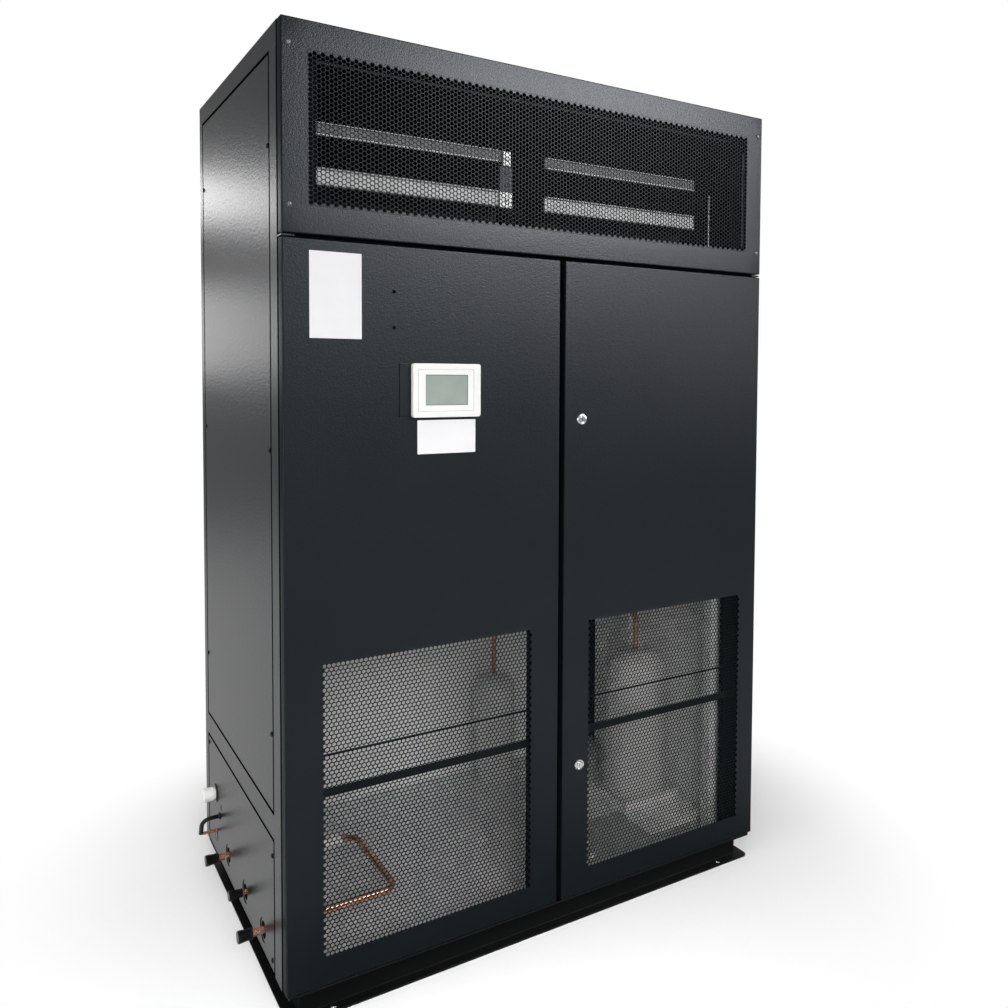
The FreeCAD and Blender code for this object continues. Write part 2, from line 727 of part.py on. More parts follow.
housing = new_body("controller_housing", -half_width, front - adapter_sheet, 0)
housing_front = -housing_deep
pad(housing, "XZ", housing_front, housing_deep,
    rect(housing_x, housing_low, housing_x + housing_wide, housing_low + housing_tall))
round_edges(housing, housing_corner, runs_along(1))


def on_front_face(edge):
    return edge.BoundBox.YMax < -housing_deep.value + 1e-6


round_edges(housing, housing_edge, on_front_face)
pocket(housing, "XZ", housing_front, screen_recess,
       rect(screen_x, screen_low, screen_x + screen_wide, screen_low + screen_tall))
pad(housing, "XZ", 0, housing_rear,
    rect(panel_cut_x + cut_play, panel_cut_z + cut_play,
         panel_cut_x + panel_cut_wide - cut_play, panel_cut_z + panel_cut_tall - cut_play))

screen = new_body("controller_screen", -half_width, front - adapter_sheet, 0)
pad(screen, "XZ", screen_recess - housing_deep - screen_sheet, screen_sheet,
    rect(screen_x, screen_low, screen_x + screen_wide, screen_low + screen_tall))

# Cam locks of the right door: barrel in the door, plug with its cam behind the centre post's flange.
lock_collar = size("lock_collar", 11, "lock collar radius")
lock_collar_sheet = size("lock_collar_sheet", 2, "lock collar in front of the door")
lock_length = size("lock_length", 28, "lock barrel behind the door's face")
plug_radius = size("plug_radius", 6, "lock plug")
plug_fit = size("plug_fit", 0.05, "lock plug's running clearance")
plug_proud = size("plug_proud", 1, "lock plug in front of its collar")
slot_wide = size("slot_wide", 1.6, "key slot across")
slot_tall = size("slot_tall", 7, "key slot")
slot_deep = size("slot_deep", 3, "key slot, depth")
cam_play = size("cam_play", 2, "cam behind the centre post's flange")
cam_sheet = size("cam_sheet", 3, "cam, thickness")
cam_wide = size("cam_wide", 14, "cam across")
cam_reach = size("cam_reach", 30, "cam beyond the lock axis")
cam_front = frame_front + frame_sheet + cam_play

barrels = new_body("lock_barrels")
for up in (lock_upper_z, lock_lower_z):
    pad(barrels, "XZ", front - lock_collar_sheet, lock_collar_sheet, disc(lock_x, up, lock_collar))
    pad(barrels, "XZ", front, lock_length, disc(lock_x, up, lock_radius))
    pocket(barrels, "XZ", front - lock_collar_sheet, lock_length + lock_collar_sheet,
           disc(lock_x, up, plug_radius + plug_fit))

for name, up in (("upper", lock_upper_z), ("lower", lock_lower_z)):
    plug = new_body(f"lock_plug_{name}", lock_x, 0, up)
    face = front - lock_collar_sheet - plug_proud
    pad(plug, "XZ", face, cam_front + cam_sheet - face, disc(0, 0, plug_radius))
    pad(plug, "XZ", cam_front, cam_sheet, rect(-cam_wide / 2, -cam_reach, cam_wide / 2, cam_wide / 2))
    pocket(plug, "XZ", face, slot_deep, rect(-slot_wide / 2, -slot_tall / 2, slot_wide / 2, slot_tall / 2))

# Blowers: two double-inlet forward-curved fans on a deck, blowing forwards through the outlet panel.
deck_sheet = size("deck_sheet", 2, "fan deck")
deck_gap = size("deck_gap", 40, "fan deck's air openings from the blowers and edges")
fan_left_gap = size("fan_left_gap", 52, "left blower from the left wall")
fan_middle_gap = size("fan_middle_gap", 91, "gap between the blowers")
fan_right_gap = size("fan_right_gap", 161, "right blower from the right wall")
fan_back = size("fan_back", 195, "blower axis behind the frame's front")
fan_mouth = size("fan_mouth", 20, "blower mouth behind the frame's front")
scroll_radius = size("scroll_radius", 112, "blower scroll at its tongue")
scroll_step = size("scroll_step", 14, "growth of the scroll per quarter turn")
scroll_sheet = size("scroll_sheet", 1.5, "blower sheet")
mouth_rise = size("mouth_rise", 33.5, "mouth's lower lip above the blower axis")
mouth_lower = size("mouth_lower", 36, "baffle at the mouth's lower lip")
mouth_upper = size("mouth_upper", 27, "baffle at the mouth's upper lip")
scroll_foot = size("scroll_foot", 6, "scroll above the deck")
foot_wide = size("foot_wide", 150, "blower side plate on the deck")
inlet_radius = size("inlet_radius", 84, "blower inlet")
wheel_radius = size("wheel_radius", 100, "blower wheel")
wheel_play = size("wheel_play", 17, "blower wheel from the blower's sides")
blade_root = size("blade_root", 84, "blade's inner radius")
blade_lean = size("blade_lean", 14, "blade's forward lean, degrees")
blade_sheet = size("blade_sheet", 1.4, "blade, thickness")
blade_count = size("blade_count", 26, "blades of a wheel")
wheel_sheet = size("wheel_sheet", 3, "wheel disc and end rings")
disc_lap = size("disc_lap", 3, "wheel disc into the blades")
ring_rim = size("ring_rim", 2, "end rings outside the blades")
ring_lip = size("ring_lip", 1, "end rings inside the blades")
hub_radius = size("hub_radius", 20, "wheel hub")
hub_length = size("hub_length", 40, "wheel hub, length")
shaft_radius = size("shaft_radius", 8, "motor shaft")
shaft_fit = size("shaft_fit", 0.05, "motor shaft's running clearance")
shaft_reach = size("shaft_reach", 40, "shaft inside the motor")
shaft_end = size("shaft_end", 2, "shaft short of its bore's end")
motor_radius = size("motor_radius", 55, "fan motor")
motor_nose = size("motor_nose", 12, "fan motor's nose inside its shell")
motor_taper = size("motor_taper", 18, "fan motor's tapered nose, length")
motor_edge = size("motor_edge", 10, "fan motor's rear chamfer")
motor_near = size("motor_near", 34, "fan motor from the wheel's middle")
motor_beyond = size("motor_beyond", 14, "fan motor outside the blower")
arm_wide = size("arm_wide", 22, "motor arm across")
arm_sheet = size("arm_sheet", 6, "motor arm, thickness")
arm_count = size("arm_count", 3, "arms of a motor")
arm_root = size("arm_root", 8, "motor arm's start inside the motor")
arm_reach = size("arm_reach", 104, "motor arm's end from the shaft")
deck_low = header_low + frame_sheet
deck_top = deck_low + deck_sheet
fan_z = deck_top + scroll_foot + scroll_sheet + scroll_radius
fan_y = frame_front + fan_back
mouth_y = frame_front + fan_mouth
scroll_back = fan_y + scroll_radius + scroll_step + scroll_sheet
wall_x = half_width - rebate - frame_sheet
scroll_wide = wall_x - (fan_left_gap + fan_middle_gap + fan_right_gap) / 2
wheel_wide = scroll_wide - 2 * wheel_play
fan_left_x = fan_left_gap + scroll_wide / 2 - wall_x
fan_right_x = wall_x - fan_right_gap - scroll_wide / 2

deck = new_body("fan_deck")
pad(deck, "XY", deck_low, deck_sheet, [
    (-front_half, flange_back),
    (front_half, flange_back),
    (front_half, side_front),
    (wall_x, side_front),
    (wall_x, side_back),
    (-wall_x, side_back),
    (-wall_x, side_front),
    (-front_half, side_front),
])
opening_low = scroll_back + deck_gap
opening_high = side_back - deck_gap
pocket(deck, "XY", deck_low, deck_sheet,
       rect(deck_gap - wall_x, opening_low, -deck_gap / 2, opening_high),
       rect(deck_gap / 2, opening_low, wall_x - deck_gap, opening_high))


def scroll_edges(grow, x):
    """The scroll's path from the mouth's lower lip round to its upper lip, grown outwards."""
    radius = scroll_radius.value
    rise = scroll_step.value
    cy = fan_y.value
    cz = fan_z.value
    mouth = mouth_y.value
    drop = mouth_rise.value - grow
    lip = cz + drop
    tongue = cy - math.sqrt((radius + grow) ** 2 - drop ** 2)
    spots = [(cy, cz), (cy, cz + rise), (cy - rise, cz + rise)]
    edges = [Part.LineSegment(FreeCAD.Vector(x, mouth, lip), FreeCAD.Vector(x, tongue, lip)).toShape()]
    last = FreeCAD.Vector(x, tongue, lip)
    for quarter, (mid_y, mid_z) in enumerate(spots):
        reach = radius + quarter * rise + grow
        begin = math.radians(180 + 90 * quarter)
        half_turn = begin + math.pi / 4
        end = begin + math.pi / 2
        via = FreeCAD.Vector(x, mid_y + reach * math.cos(half_turn), mid_z + reach * math.sin(half_turn))
        stop = FreeCAD.Vector(x, mid_y + reach * math.cos(end), mid_z + reach * math.sin(end))
        edges.append(Part.Arc(last, via, stop).toShape())
        last = stop
    edges.append(Part.LineSegment(last, FreeCAD.Vector(x, mouth, last.z)).toShape())
    return edges


def ends(edges):
    return edges[0].Vertexes[0].Point, edges[-1].Vertexes[-1].Point


def scroll_housing(middle):
    """A sheet wrap between two side plates that stand on the deck and carry the inlets."""
    left = middle.value - scroll_wide.value / 2
    thick = scroll_sheet.value
    inside = scroll_edges(0.0, left)
    outside = scroll_edges(thick, left)
    in_low, in_high = ends(inside)
    out_low, out_high = ends(outside)
    caps = [Part.LineSegment(in_low, out_low).toShape(), Part.LineSegment(in_high, out_high).toShape()]
    wrap_wire = Part.Wire(Part.__sortEdges__(inside + outside + caps))
    wrap = Part.Face(wrap_wire).extrude(FreeCAD.Vector(scroll_wide.value, 0, 0))
    closing = Part.LineSegment(out_high, out_low).toShape()
    side = Part.Face(Part.Wire(Part.__sortEdges__(outside + [closing])))
    plate = side.extrude(FreeCAD.Vector(thick, 0, 0))
    foot = Part.makeBox(thick, foot_wide.value, scroll_radius.value,
                        vector(left, fan_y - foot_wide / 2, deck_top))
    inlet = Part.makeCylinder(inlet_radius.value, thick, vector(left, fan_y, fan_z), FreeCAD.Vector(1, 0, 0))
    plate = plate.fuse(foot).cut(inlet)
    lower = Part.makeBox(scroll_wide.value, thick, mouth_lower.value,
                         FreeCAD.Vector(left, out_low.y, out_low.z))
    upper = Part.makeBox(scroll_wide.value, thick, mouth_upper.value,
                         FreeCAD.Vector(left, out_high.y, out_high.z - mouth_upper.value))
    other = plate.copy()
    other.translate(FreeCAD.Vector(scroll_wide.value - thick, 0, 0))
    return wrap.fuse([plate, other, lower, upper]).removeSplitter()


def blade_outline():
    """A forward-curved blade: its lean grows with the square of the way out."""
    ahead = []
    behind = []
    for share in (0.0, 0.55, 1.0):
        radius = blade_root + (wheel_radius - blade_root) * share
        turn = blade_lean * share ** 2
        along_x = radius * cosine(turn)
        along_y = radius * sine(turn)
        ahead.append((along_x, along_y + blade_sheet / 2))
        behind.append((along_x, along_y - blade_sheet / 2))
    return behind + ahead[::-1]


for name, middle in (("left", fan_left_x), ("right", fan_right_x)):
    new_shape(f"blower_housing_{name}", scroll_housing(middle))
    wheel = new_body(f"blower_wheel_{name}", middle, fan_y, fan_z, axis=(0, 1, 0), angle=90)
    pad(wheel, "XY", -wheel_sheet / 2, wheel_sheet, disc(0, 0, blade_root + disc_lap))
    pad(wheel, "XY", -hub_length / 2, hub_length, disc(0, 0, hub_radius))
    pad(wheel, "XY", 0, motor_near + shaft_reach, disc(0, 0, shaft_radius))
    blade = pad(wheel, "XY", -wheel_wide / 2, wheel_wide, blade_outline())
    blades = wheel.newObject("PartDesign::PolarPattern", f"{wheel.Name}_blades")
    blades.Originals = [blade]
    blades.Axis = (blade.Profile[0], ["N_Axis"])
    blades.Angle = 360
    tie(blades, "Occurrences", blade_count)
    wheel.Tip = blades
    for start in (-wheel_wide / 2, wheel_wide / 2 - wheel_sheet):
        pad(wheel, "XY", start, wheel_sheet,
            disc(0, 0, wheel_radius + ring_rim), disc(0, 0, blade_root - ring_lip))

    motor = new_body(f"fan_motor_{name}", middle, fan_y, fan_z, axis=(0, 1, 0), angle=90)
    motor_end = scroll_wide / 2 + motor_beyond
    revolve(motor, [
        (shaft_radius + shaft_fit, motor_near),
        (motor_radius - motor_nose, motor_near),
        (motor_radius, motor_near + motor_taper),
        (motor_radius, motor_end - motor_edge),
        (motor_radius - motor_edge, motor_end),
        (as_size(0), motor_end),
        (as_size(0), motor_near + shaft_reach + shaft_end),
        (shaft_radius + shaft_fit, motor_near + shaft_reach + shaft_end),
    ])
    arm = pad(motor, "XY", scroll_wide / 2, arm_sheet,
              rect(motor_radius - arm_root, -arm_wide / 2, arm_reach, arm_wide / 2))
    arms = motor.newObject("PartDesign::PolarPattern", f"{motor.Name}_arms")
    arms.Originals = [arm]
    arms.Axis = (arm.Profile[0], ["N_Axis"])
    arms.Angle = 360
    tie(arms, "Occurrences", arm_count)
    motor.Tip = arms

# Equipment shelf on four legs: carries the drain pan with the coil, the switchgear and the humidifier.
shelf_drop = size("shelf_drop", 730, "equipment shelf below the fan deck")
shelf_sheet = size("shelf_sheet", 2, "equipment shelf")
shelf_end_gap = size("shelf_end_gap", 55, "equipment shelf from the cabinet's sides")
shelf_setback = size("shelf_setback", 43, "equipment shelf behind the frame's front")
shelf_deep = size("shelf_deep", 418, "equipment shelf, front to back")
leg_wide = size("leg_wide", 30, "shelf leg across")
shelf_top = deck_low - shelf_drop
shelf_half = half_width - shelf_end_gap
shelf_front = frame_front + shelf_setback
shelf_back = shelf_front + shelf_deep
shelf = new_body("equipment_shelf")
pad(shelf, "XY", shelf_top - shelf_sheet, shelf_sheet,
    rect(-shelf_half, shelf_front, shelf_half, shelf_back))
legs = []
for x in (-shelf_half, shelf_half - leg_wide):
    for y in (shelf_front, shelf_back - leg_wide):
        legs.append(rect(x, y, x + leg_wide, y + leg_wide))
pad(shelf, "XY", floor_top, shelf_top - shelf_sheet - floor_top, *legs)

# Cooling coil in its drain pan: a finned block with return bends, leaning back, and two filters on it.
pan_setback = size("pan_setback", 152, "drain pan behind the shelf's front edge")
pan_deep = size("pan_deep", 250, "drain pan, front to back")
pan_end_gap = size("pan_end_gap", 10, "drain pan from the shelf's ends")
pan_tall = size("pan_tall", 42, "drain pan")
pan_sheet = size("pan_sheet", 1.5, "drain pan sheet")
coil_tilt = size("coil_tilt", 25, "coil from upright, degrees")
coil_end_gap = size("coil_end_gap", 55, "coil from the drain pan's ends")
coil_deep = size("coil_deep", 110, "coil, thickness")
coil_tall = size("coil_tall", 600, "coil along its slope")
coil_setback = size("coil_setback", 110, "coil's lower edge behind the drain pan's front")
coil_rest = size("coil_rest", 0.3, "coil above the drain pan's floor")
fin_gap = size("fin_gap", 20, "groove between two fin packs")
fin_deep = size("fin_deep", 16, "groove between two fin packs, depth")
fin_copies = size("fin_copies", 16, "grooves along the coil")
coil_margin = size("coil_margin", 24, "end plates of the coil")
bend_radius = size("bend_radius", 6, "coil tube")
bend_reach = size("bend_reach", 24, "return bend beyond the coil")
bend_copies = size("bend_copies", 2, "return bends at one end")
bend_pitch = size("bend_pitch", 300, "return bends, from one to the next")
filter_deep = size("filter_deep", 46, "air filter")
filter_gap = size("filter_gap", 0.3, "air filter off the coil")
filter_split = size("filter_split", 4, "gap between the filters")
filter_frame = size("filter_frame", 20, "air filter's frame")
filter_sheet = size("filter_sheet", 30, "air filter's pack, thickness")
pan_front = shelf_front + pan_setback
pan_half = shelf_half - pan_end_gap
coil_half = pan_half - coil_end_gap
coil_y = pan_front + coil_setback

tray = new_body("drain_pan")
pad(tray, "XY", shelf_top, pan_tall, rect(-pan_half, pan_front, pan_half, pan_front + pan_deep))
pocket(tray, "XY", shelf_top + pan_sheet, pan_tall,
       rect(pan_sheet - pan_half, pan_front + pan_sheet,
            pan_half - pan_sheet, pan_front + pan_deep - pan_sheet))

coil_z = shelf_top + pan_sheet + coil_rest + coil_deep * sine(coil_tilt)
coil = new_body("cooling_coil", 0, coil_y, coil_z, axis=(-1, 0, 0), angle=coil_tilt)
pad(coil, "XY", 0, coil_tall, rect(-coil_half, as_size(0), coil_half, coil_deep))
groove_span = 2 * (coil_half - coil_margin) - fin_gap
for start in (as_size(0), coil_deep - fin_deep):
    groove = pocket(coil, "XY", 0, coil_tall,
                    rect(coil_margin - coil_half, start, coil_margin - coil_half + fin_gap, start + fin_deep))
    repeat(coil, groove, "H_Axis", groove_span, fin_copies)
for end in (-1, 1):
    low = bend_pitch / 2
    tube = pad(coil, "YZ", coil_half if end > 0 else -coil_half - bend_reach, bend_reach,
               disc(coil_deep / 3, low, bend_radius), disc(coil_deep * 2 / 3, low, bend_radius))
    repeat(coil, tube, "V_Axis", bend_pitch * (bend_copies - 1), bend_copies)

filters = new_body("air_filters", 0, coil_y, coil_z, axis=(-1, 0, 0), angle=coil_tilt)
filter_back = -filter_gap
filter_front = filter_back - filter_deep
for low, high in ((-coil_half, -filter_split / 2), (filter_split / 2, coil_half)):
    pad(filters, "XZ", filter_front, filter_deep, rect(low, filter_frame, high, coil_tall),
        rect(low + filter_frame, 2 * filter_frame, high - filter_frame, coil_tall - filter_frame))
    pad(filters, "XZ", filter_back - filter_sheet, filter_sheet,
        rect(low + filter_frame, 2 * filter_frame, high - filter_frame, coil_tall - filter_frame))

# Electric heater: straight rods between two plates that hang from the fan deck.
heater_gap = size("heater_gap", 168, "heater's middle behind the blowers")
heater_drop = size("heater_drop", 70, "heater plate below the deck")
heater_wide = size("heater_wide", 150, "heater plate, front to back")
heater_sheet = size("heater_sheet", 3, "heater plate, thickness")
heater_rod = size("heater_rod", 6, "heater rod's radius")
heater_rods = size("heater_rods", 4, "heater rods")
heater_rise = size("heater_rise", 23, "heater rods above the plates' lower edge")
heater_half = wall_x - deck_gap / 2
heater_y = scroll_back + heater_gap
heater = new_body("electric_heater")
plate_low = deck_low - heater_drop
for x in (-heater_half, heater_half - heater_sheet):
    pad(heater, "YZ", x, heater_sheet,
        rect(heater_y - heater_wide / 2, plate_low, heater_y + heater_wide / 2, deck_low))
rod_pitch = heater_wide / heater_rods
element = pad(heater, "YZ", -heater_half, 2 * heater_half,
              disc(heater_y - heater_wide / 2 + rod_pitch / 2, plate_low + heater_rise, heater_rod))
repeat(heater, element, "H_Axis", rod_pitch * (heater_rods - 1), heater_rods)

# Switchgear: an open-fronted box with a mounting rail, and a row of breakers and contactors on it.
gear_end_gap = size("gear_end_gap", 15, "switchgear box from the shelf's left end")
gear_wide = size("gear_wide", 360, "switchgear box across")
gear_setback = size("gear_setback", 4, "switchgear box behind the shelf's front edge")
gear_deep = size("gear_deep", 120, "switchgear box, front to back")
gear_tall = size("gear_tall", 520, "switchgear box")
gear_sheet = size("gear_sheet", 2, "switchgear box, sheet")
unit_wide = size("unit_wide", 36, "breaker across")
unit_tall = size("unit_tall", 84, "breaker")
unit_deep = size("unit_deep", 70, "breaker, front to back")
unit_gap = size("unit_gap", 4, "gap between breakers")
unit_count = size("unit_count", 7, "breakers in a row")
unit_rows = size("unit_rows", 3, "rows of breakers")
row_step = size("row_step", 160, "rows of breakers, from one to the next")
row_low = size("row_low", 60, "lowest row above the box's floor")
mount_rail = size("mount_rail", 8, "mounting rail's depth")
rail_tall = size("rail_tall", 42, "mounting rail")
gear_x = gear_end_gap - shelf_half
gear_front = shelf_front + gear_setback
switch_box = new_body("switchgear_box", gear_x, gear_front, shelf_top)
pad(switch_box, "XZ", 0, gear_deep, rect(as_size(0), as_size(0), gear_wide, gear_tall))
pocket(switch_box, "XZ", 0, gear_deep - gear_sheet,
       rect(gear_sheet, gear_sheet, gear_wide - gear_sheet, gear_tall - gear_sheet))

units = new_body("switchgear_units", gear_x, gear_front, shelf_top)
units_span = unit_count * unit_wide + (unit_count - 1) * unit_gap
units_x = (gear_wide - units_span) / 2
units_back = gear_deep - gear_sheet
rail_low = row_low + (unit_tall - rail_tall) / 2
rails = pad(units, "XZ", units_back - mount_rail, mount_rail,
            rect(units_x, rail_low, units_x + units_span, rail_low + rail_tall))
repeat(units, rails, "V_Axis", row_step * (unit_rows - 1), unit_rows)
breaker = pad(units, "XZ", units_back - mount_rail - unit_deep, unit_deep,
              rect(units_x, row_low, units_x + unit_wide, row_low + unit_tall))
grid(units, breaker, (unit_wide + unit_gap) * (unit_count - 1), unit_count,
     row_step * (unit_rows - 1), unit_rows)

# Steam humidifier: a ribbed canister on a foot, on the right half of the shelf.
steam_x = size("steam_x", 330, "humidifier from the cabinet's middle")
steam_setback = size("steam_setback", 72, "humidifier's middle behind the shelf's front edge")
steam_radius = size("steam_radius", 66, "humidifier canister")
steam_tall = size("steam_tall", 330, "humidifier canister, height")
steam_foot = size("steam_foot", 40, "humidifier's foot")
steam_step = size("steam_step", 8, "humidifier's foot inside its canister")
steam_taper = size("steam_taper", 12, "rise from the foot to the canister")
steam_band = size("steam_band", 16, "band round the canister's joint")
steam_proud = size("steam_proud", 6, "band outside the canister")
steam_crown = size("steam_crown", 32, "canister's flat top, radius")
steam_shoulder = size("steam_shoulder", 30, "canister's sloping shoulder, height")
steam_neck = size("steam_neck", 18, "humidifier's steam neck")
neck_tall = size("neck_tall", 40, "humidifier's steam neck, height")
steam_top = steam_foot + steam_tall
band_low = steam_foot + (steam_tall - steam_band) / 2
band_high = band_low + steam_band
steam_y = shelf_front + steam_setback
humidifier = new_body("humidifier", steam_x, steam_y, shelf_top)
revolve(humidifier, [
    (as_size(0), as_size(0)),
    (steam_radius - steam_step, as_size(0)),
    (steam_radius - steam_step, steam_foot),
    (steam_radius, steam_foot + steam_taper),
    (steam_radius, band_low),
    (steam_radius + steam_proud, band_low),
    (steam_radius + steam_proud, band_high),
    (steam_radius, band_high),
    (steam_radius, steam_top - steam_shoulder),
    (steam_crown, steam_top),
    (steam_neck, steam_top),
    (steam_neck, steam_top + neck_tall),
    (as_size(0), steam_top + neck_tall),
])

# Compressor on rubber feet, and the liquid receiver on its stand ring.
pump_x = size("pump_x", 472, "compressor from the cabinet's middle")
pump_front = size("pump_front", 366, "compressor's middle from the door face")
pump_y = front + pump_front
pump_radius = size("pump_radius", 92, "compressor shell")
pump_neck = size("pump_neck", 86, "compressor shell's upper half")
pump_tall = size("pump_tall", 400, "compressor shell, height")
pump_skirt = size("pump_skirt", 18, "compressor shell's rounded foot, height")
pump_edge = size("pump_edge", 6, "compressor shell's rounded foot, depth")
pump_lower = size("pump_lower", 248, "compressor's lower shell, height")
pump_joggle = size("pump_joggle", 8, "slope from the lower shell to the upper one")
pump_dome = size("pump_dome", 48, "compressor's dome, height")
dome_radius = size("dome_radius", 64, "compressor dome's shoulder")
dome_drop = size("dome_drop", 16, "that shoulder below the top")
pump_crown = size("pump_crown", 34, "compressor dome's flat top")
pump_base = size("pump_base", 190, "compressor base plate across")
pump_plate = size("pump_plate", 6, "compressor base plate")
foot_radius = size("foot_radius", 18, "compressor foot")
foot_tall = size("foot_tall", 28, "compressor foot, height")
foot_inset = size("foot_inset", 24, "compressor foot from the base plate's edges")
tank_x = size("tank_x", 187, "liquid receiver from the cabinet's middle")
tank_back = size("tank_back", 95, "liquid receiver's middle from the cabinet's back")
tank_radius = size("tank_radius", 62, "liquid receiver")
tank_tall = size("tank_tall", 290, "liquid receiver, height")
tank_dome = size("tank_dome", 34, "liquid receiver's domed ends")
tank_ring = size("tank_ring", 24, "liquid receiver's stand ring")
tank_step = size("tank_step", 10, "stand ring inside the receiver")
tank_shoulder = size("tank_shoulder", 43, "receiver dome's shoulder")
shoulder_drop = size("shoulder_drop", 8, "that shoulder below the top")
tank_crown = size("tank_crown", 18, "receiver dome's flat top")
tank_y = back - tank_back
pump_floor = floor_top + foot_tall

feet = new_body("compressor_feet", pump_x, pump_y, floor_top)
spread = pump_base / 2 - foot_inset
pad(feet, "XY", 0, foot_tall, *[disc(i * spread, j * spread, foot_radius) for i in (-1, 1) for j in (-1, 1)])

pump = new_body("compressor", pump_x, pump_y, pump_floor)
revolve(pump, [
    (as_size(0), as_size(0)),
    (pump_radius - pump_edge, as_size(0)),
    (pump_radius, pump_skirt),
    (pump_radius, pump_lower),
    (pump_neck, pump_lower + pump_joggle),
    (pump_neck, pump_tall - pump_dome),
    (dome_radius, pump_tall - dome_drop),
    (pump_crown, pump_tall),
    (as_size(0), pump_tall),
])
pad(pump, "XY", 0, pump_plate, rect(-pump_base / 2, -pump_base / 2, pump_base / 2, pump_base / 2))

tank = new_body("liquid_receiver", tank_x, tank_y, floor_top)
revolve(tank, [
    (as_size(0), as_size(0)),
    (tank_radius - tank_step, as_size(0)),
    (tank_radius - tank_step, tank_ring),
    (tank_radius, tank_ring + tank_dome),
    (tank_radius, tank_ring + tank_tall - tank_dome),
    (tank_shoulder, tank_ring + tank_tall - shoulder_drop),
    (tank_crown, tank_ring + tank_tall),
    (as_size(0), tank_ring + tank_tall),
])

# Copper pipes: from the stubs outside the lower left panel to the compressor, receiver and coil.
stub_reach = size("stub_reach", 48, "pipe stub outside the cabinet")
stub_short = size("stub_short", 16, "liquid pipe's stub short of the others")
pipe_radius = size("pipe_radius", 8, "suction and discharge pipe")
thin_radius = size("thin_radius", 6, "liquid pipe")
pipe_bend = size("pipe_bend", 34, "pipe bend, to the middle of the pipe")
suction_run = size("suction_run", 290, "suction pipe inside the cabinet before its turn")
suction_turn = size("suction_turn", 290, "suction pipe's run towards the back")
suction_return = size("suction_return", 190, "suction pipe's run back to the left")
liquid_run = size("liquid_run", 170, "liquid pipe inside the cabinet before its riser")
gas_run = size("gas_run", 195, "discharge pipe inside the cabinet before its riser")
gas_over = size("gas_over", 168, "discharge pipe's upper run below the shelf")
liquid_over = size("liquid_over", 148, "receiver pipe's upper run below the shelf")
liquid_reach = size("liquid_reach", 258, "receiver pipe's run towards the front")
pipe_seat = size("pipe_seat", 0.3, "pipe end off its vessel or the shelf")
stub_end = -half_width - stub_reach
pipe_top = shelf_top - shelf_sheet - pipe_seat
suction_x = suction_run - half_width
suction_back = suction_y + suction_turn
new_shape("suction_pipe", rod([
    vector(stub_end, suction_y, suction_z),
    vector(suction_x, suction_y, suction_z),
    vector(suction_x, suction_back, suction_z),
    vector(suction_x - suction_return, suction_back, suction_z),
    vector(suction_x - suction_return, suction_back, pipe_top),
], pipe_radius.value, pipe_bend.value))
gas_head = pump_floor + pump_tall + pipe_seat
gas_high = pipe_top - gas_over
new_shape("discharge_pipe", rod([
    vector(stub_end, gas_y, gas_z),
    vector(gas_run - half_width, gas_y, gas_z),
    vector(gas_run - half_width, gas_y, gas_high),
    vector(pump_x, gas_y, gas_high),
    vector(pump_x, pump_y, gas_high),
    vector(pump_x, pump_y, gas_head),
], pipe_radius.value, pipe_bend.value))
liquid_in = rod([
    vector(stub_end + stub_short, liquid_y, liquid_z),
    vector(liquid_run - half_width, liquid_y, liquid_z),
    vector(liquid_run - half_width, liquid_y, pipe_top),
], thin_radius.value, pipe_bend.value)
tank_top = floor_top + tank_ring + tank_tall + pipe_seat
liquid_high = pipe_top - liquid_over
liquid_out = rod([
    vector(tank_x, tank_y, tank_top),
    vector(tank_x, tank_y, liquid_high),
    vector(tank_x, tank_y - liquid_reach, liquid_high),
    vector(tank_x, tank_y - liquid_reach, pipe_top),
], thin_radius.value, pipe_bend.value)
new_shape("liquid_pipe", Part.makeCompound([liquid_in, liquid_out]))

# Rubber caps on the stubs, rubber rings in the passages, and the drain and water fittings.
cap_radius = size("cap_radius", 13, "stub cap")
cap_length = size("cap_length", 29, "stub cap, length")
cap_end = size("cap_end", 3, "stub cap's closed end")
cap_fit = size("cap_fit", 0.05, "stub cap's clearance on its pipe")
ring_sheet = size("ring_sheet", 7, "passage ring, thickness")
ring_bore = size("ring_bore", 18, "passage ring's bore radius")
ring_lap = size("ring_lap", 2, "passage ring outside its hole")
water_lap = size("water_lap", 5, "water inlet's collar outside its hole")
water_radius = size("water_radius", 17, "water inlet")
water_length = size("water_length", 30, "water inlet outside the cabinet")
water_inside = size("water_inside", 60, "water inlet inside the cabinet")
hose_bend = size("hose_bend", 20, "drain hose's bend")
hose_reach = size("hose_reach", 40, "drain hose outside the cabinet")
hose_fall = size("hose_fall", 42, "drain hose's fall")
hose_inside = size("hose_inside", 60, "drain hose inside the cabinet")

caps = new_body("stub_caps")
rings = new_body("passage_rings")
stubs = (
    (gas_y, gas_z, stub_end, pipe_radius),
    (liquid_y, liquid_z, stub_end + stub_short, thin_radius),
    (suction_y, suction_z, stub_end, pipe_radius),
)
for along, up, end, radius in stubs:
    outer = radius + cap_radius - pipe_radius
    pad(caps, "YZ", end - cap_end, cap_length, disc(along, up, outer))
    pocket(caps, "YZ", end, cap_length, disc(along, up, radius + cap_fit))
ring_start = panel_sheet - half_width
for along, up, end, radius in stubs:
    pad(rings, "YZ", ring_start, ring_sheet,
        disc(along, up, passage_bore / 2 + ring_lap), disc(along, up, ring_bore))

water = new_body("water_inlet")
pad(water, "YZ", -half_width - water_length, water_length + water_inside,
    disc(water_y, water_z, water_radius))
pad(water, "YZ", panel_sheet - half_width, ring_sheet, disc(water_y, water_z, water_bore / 2 + water_lap))

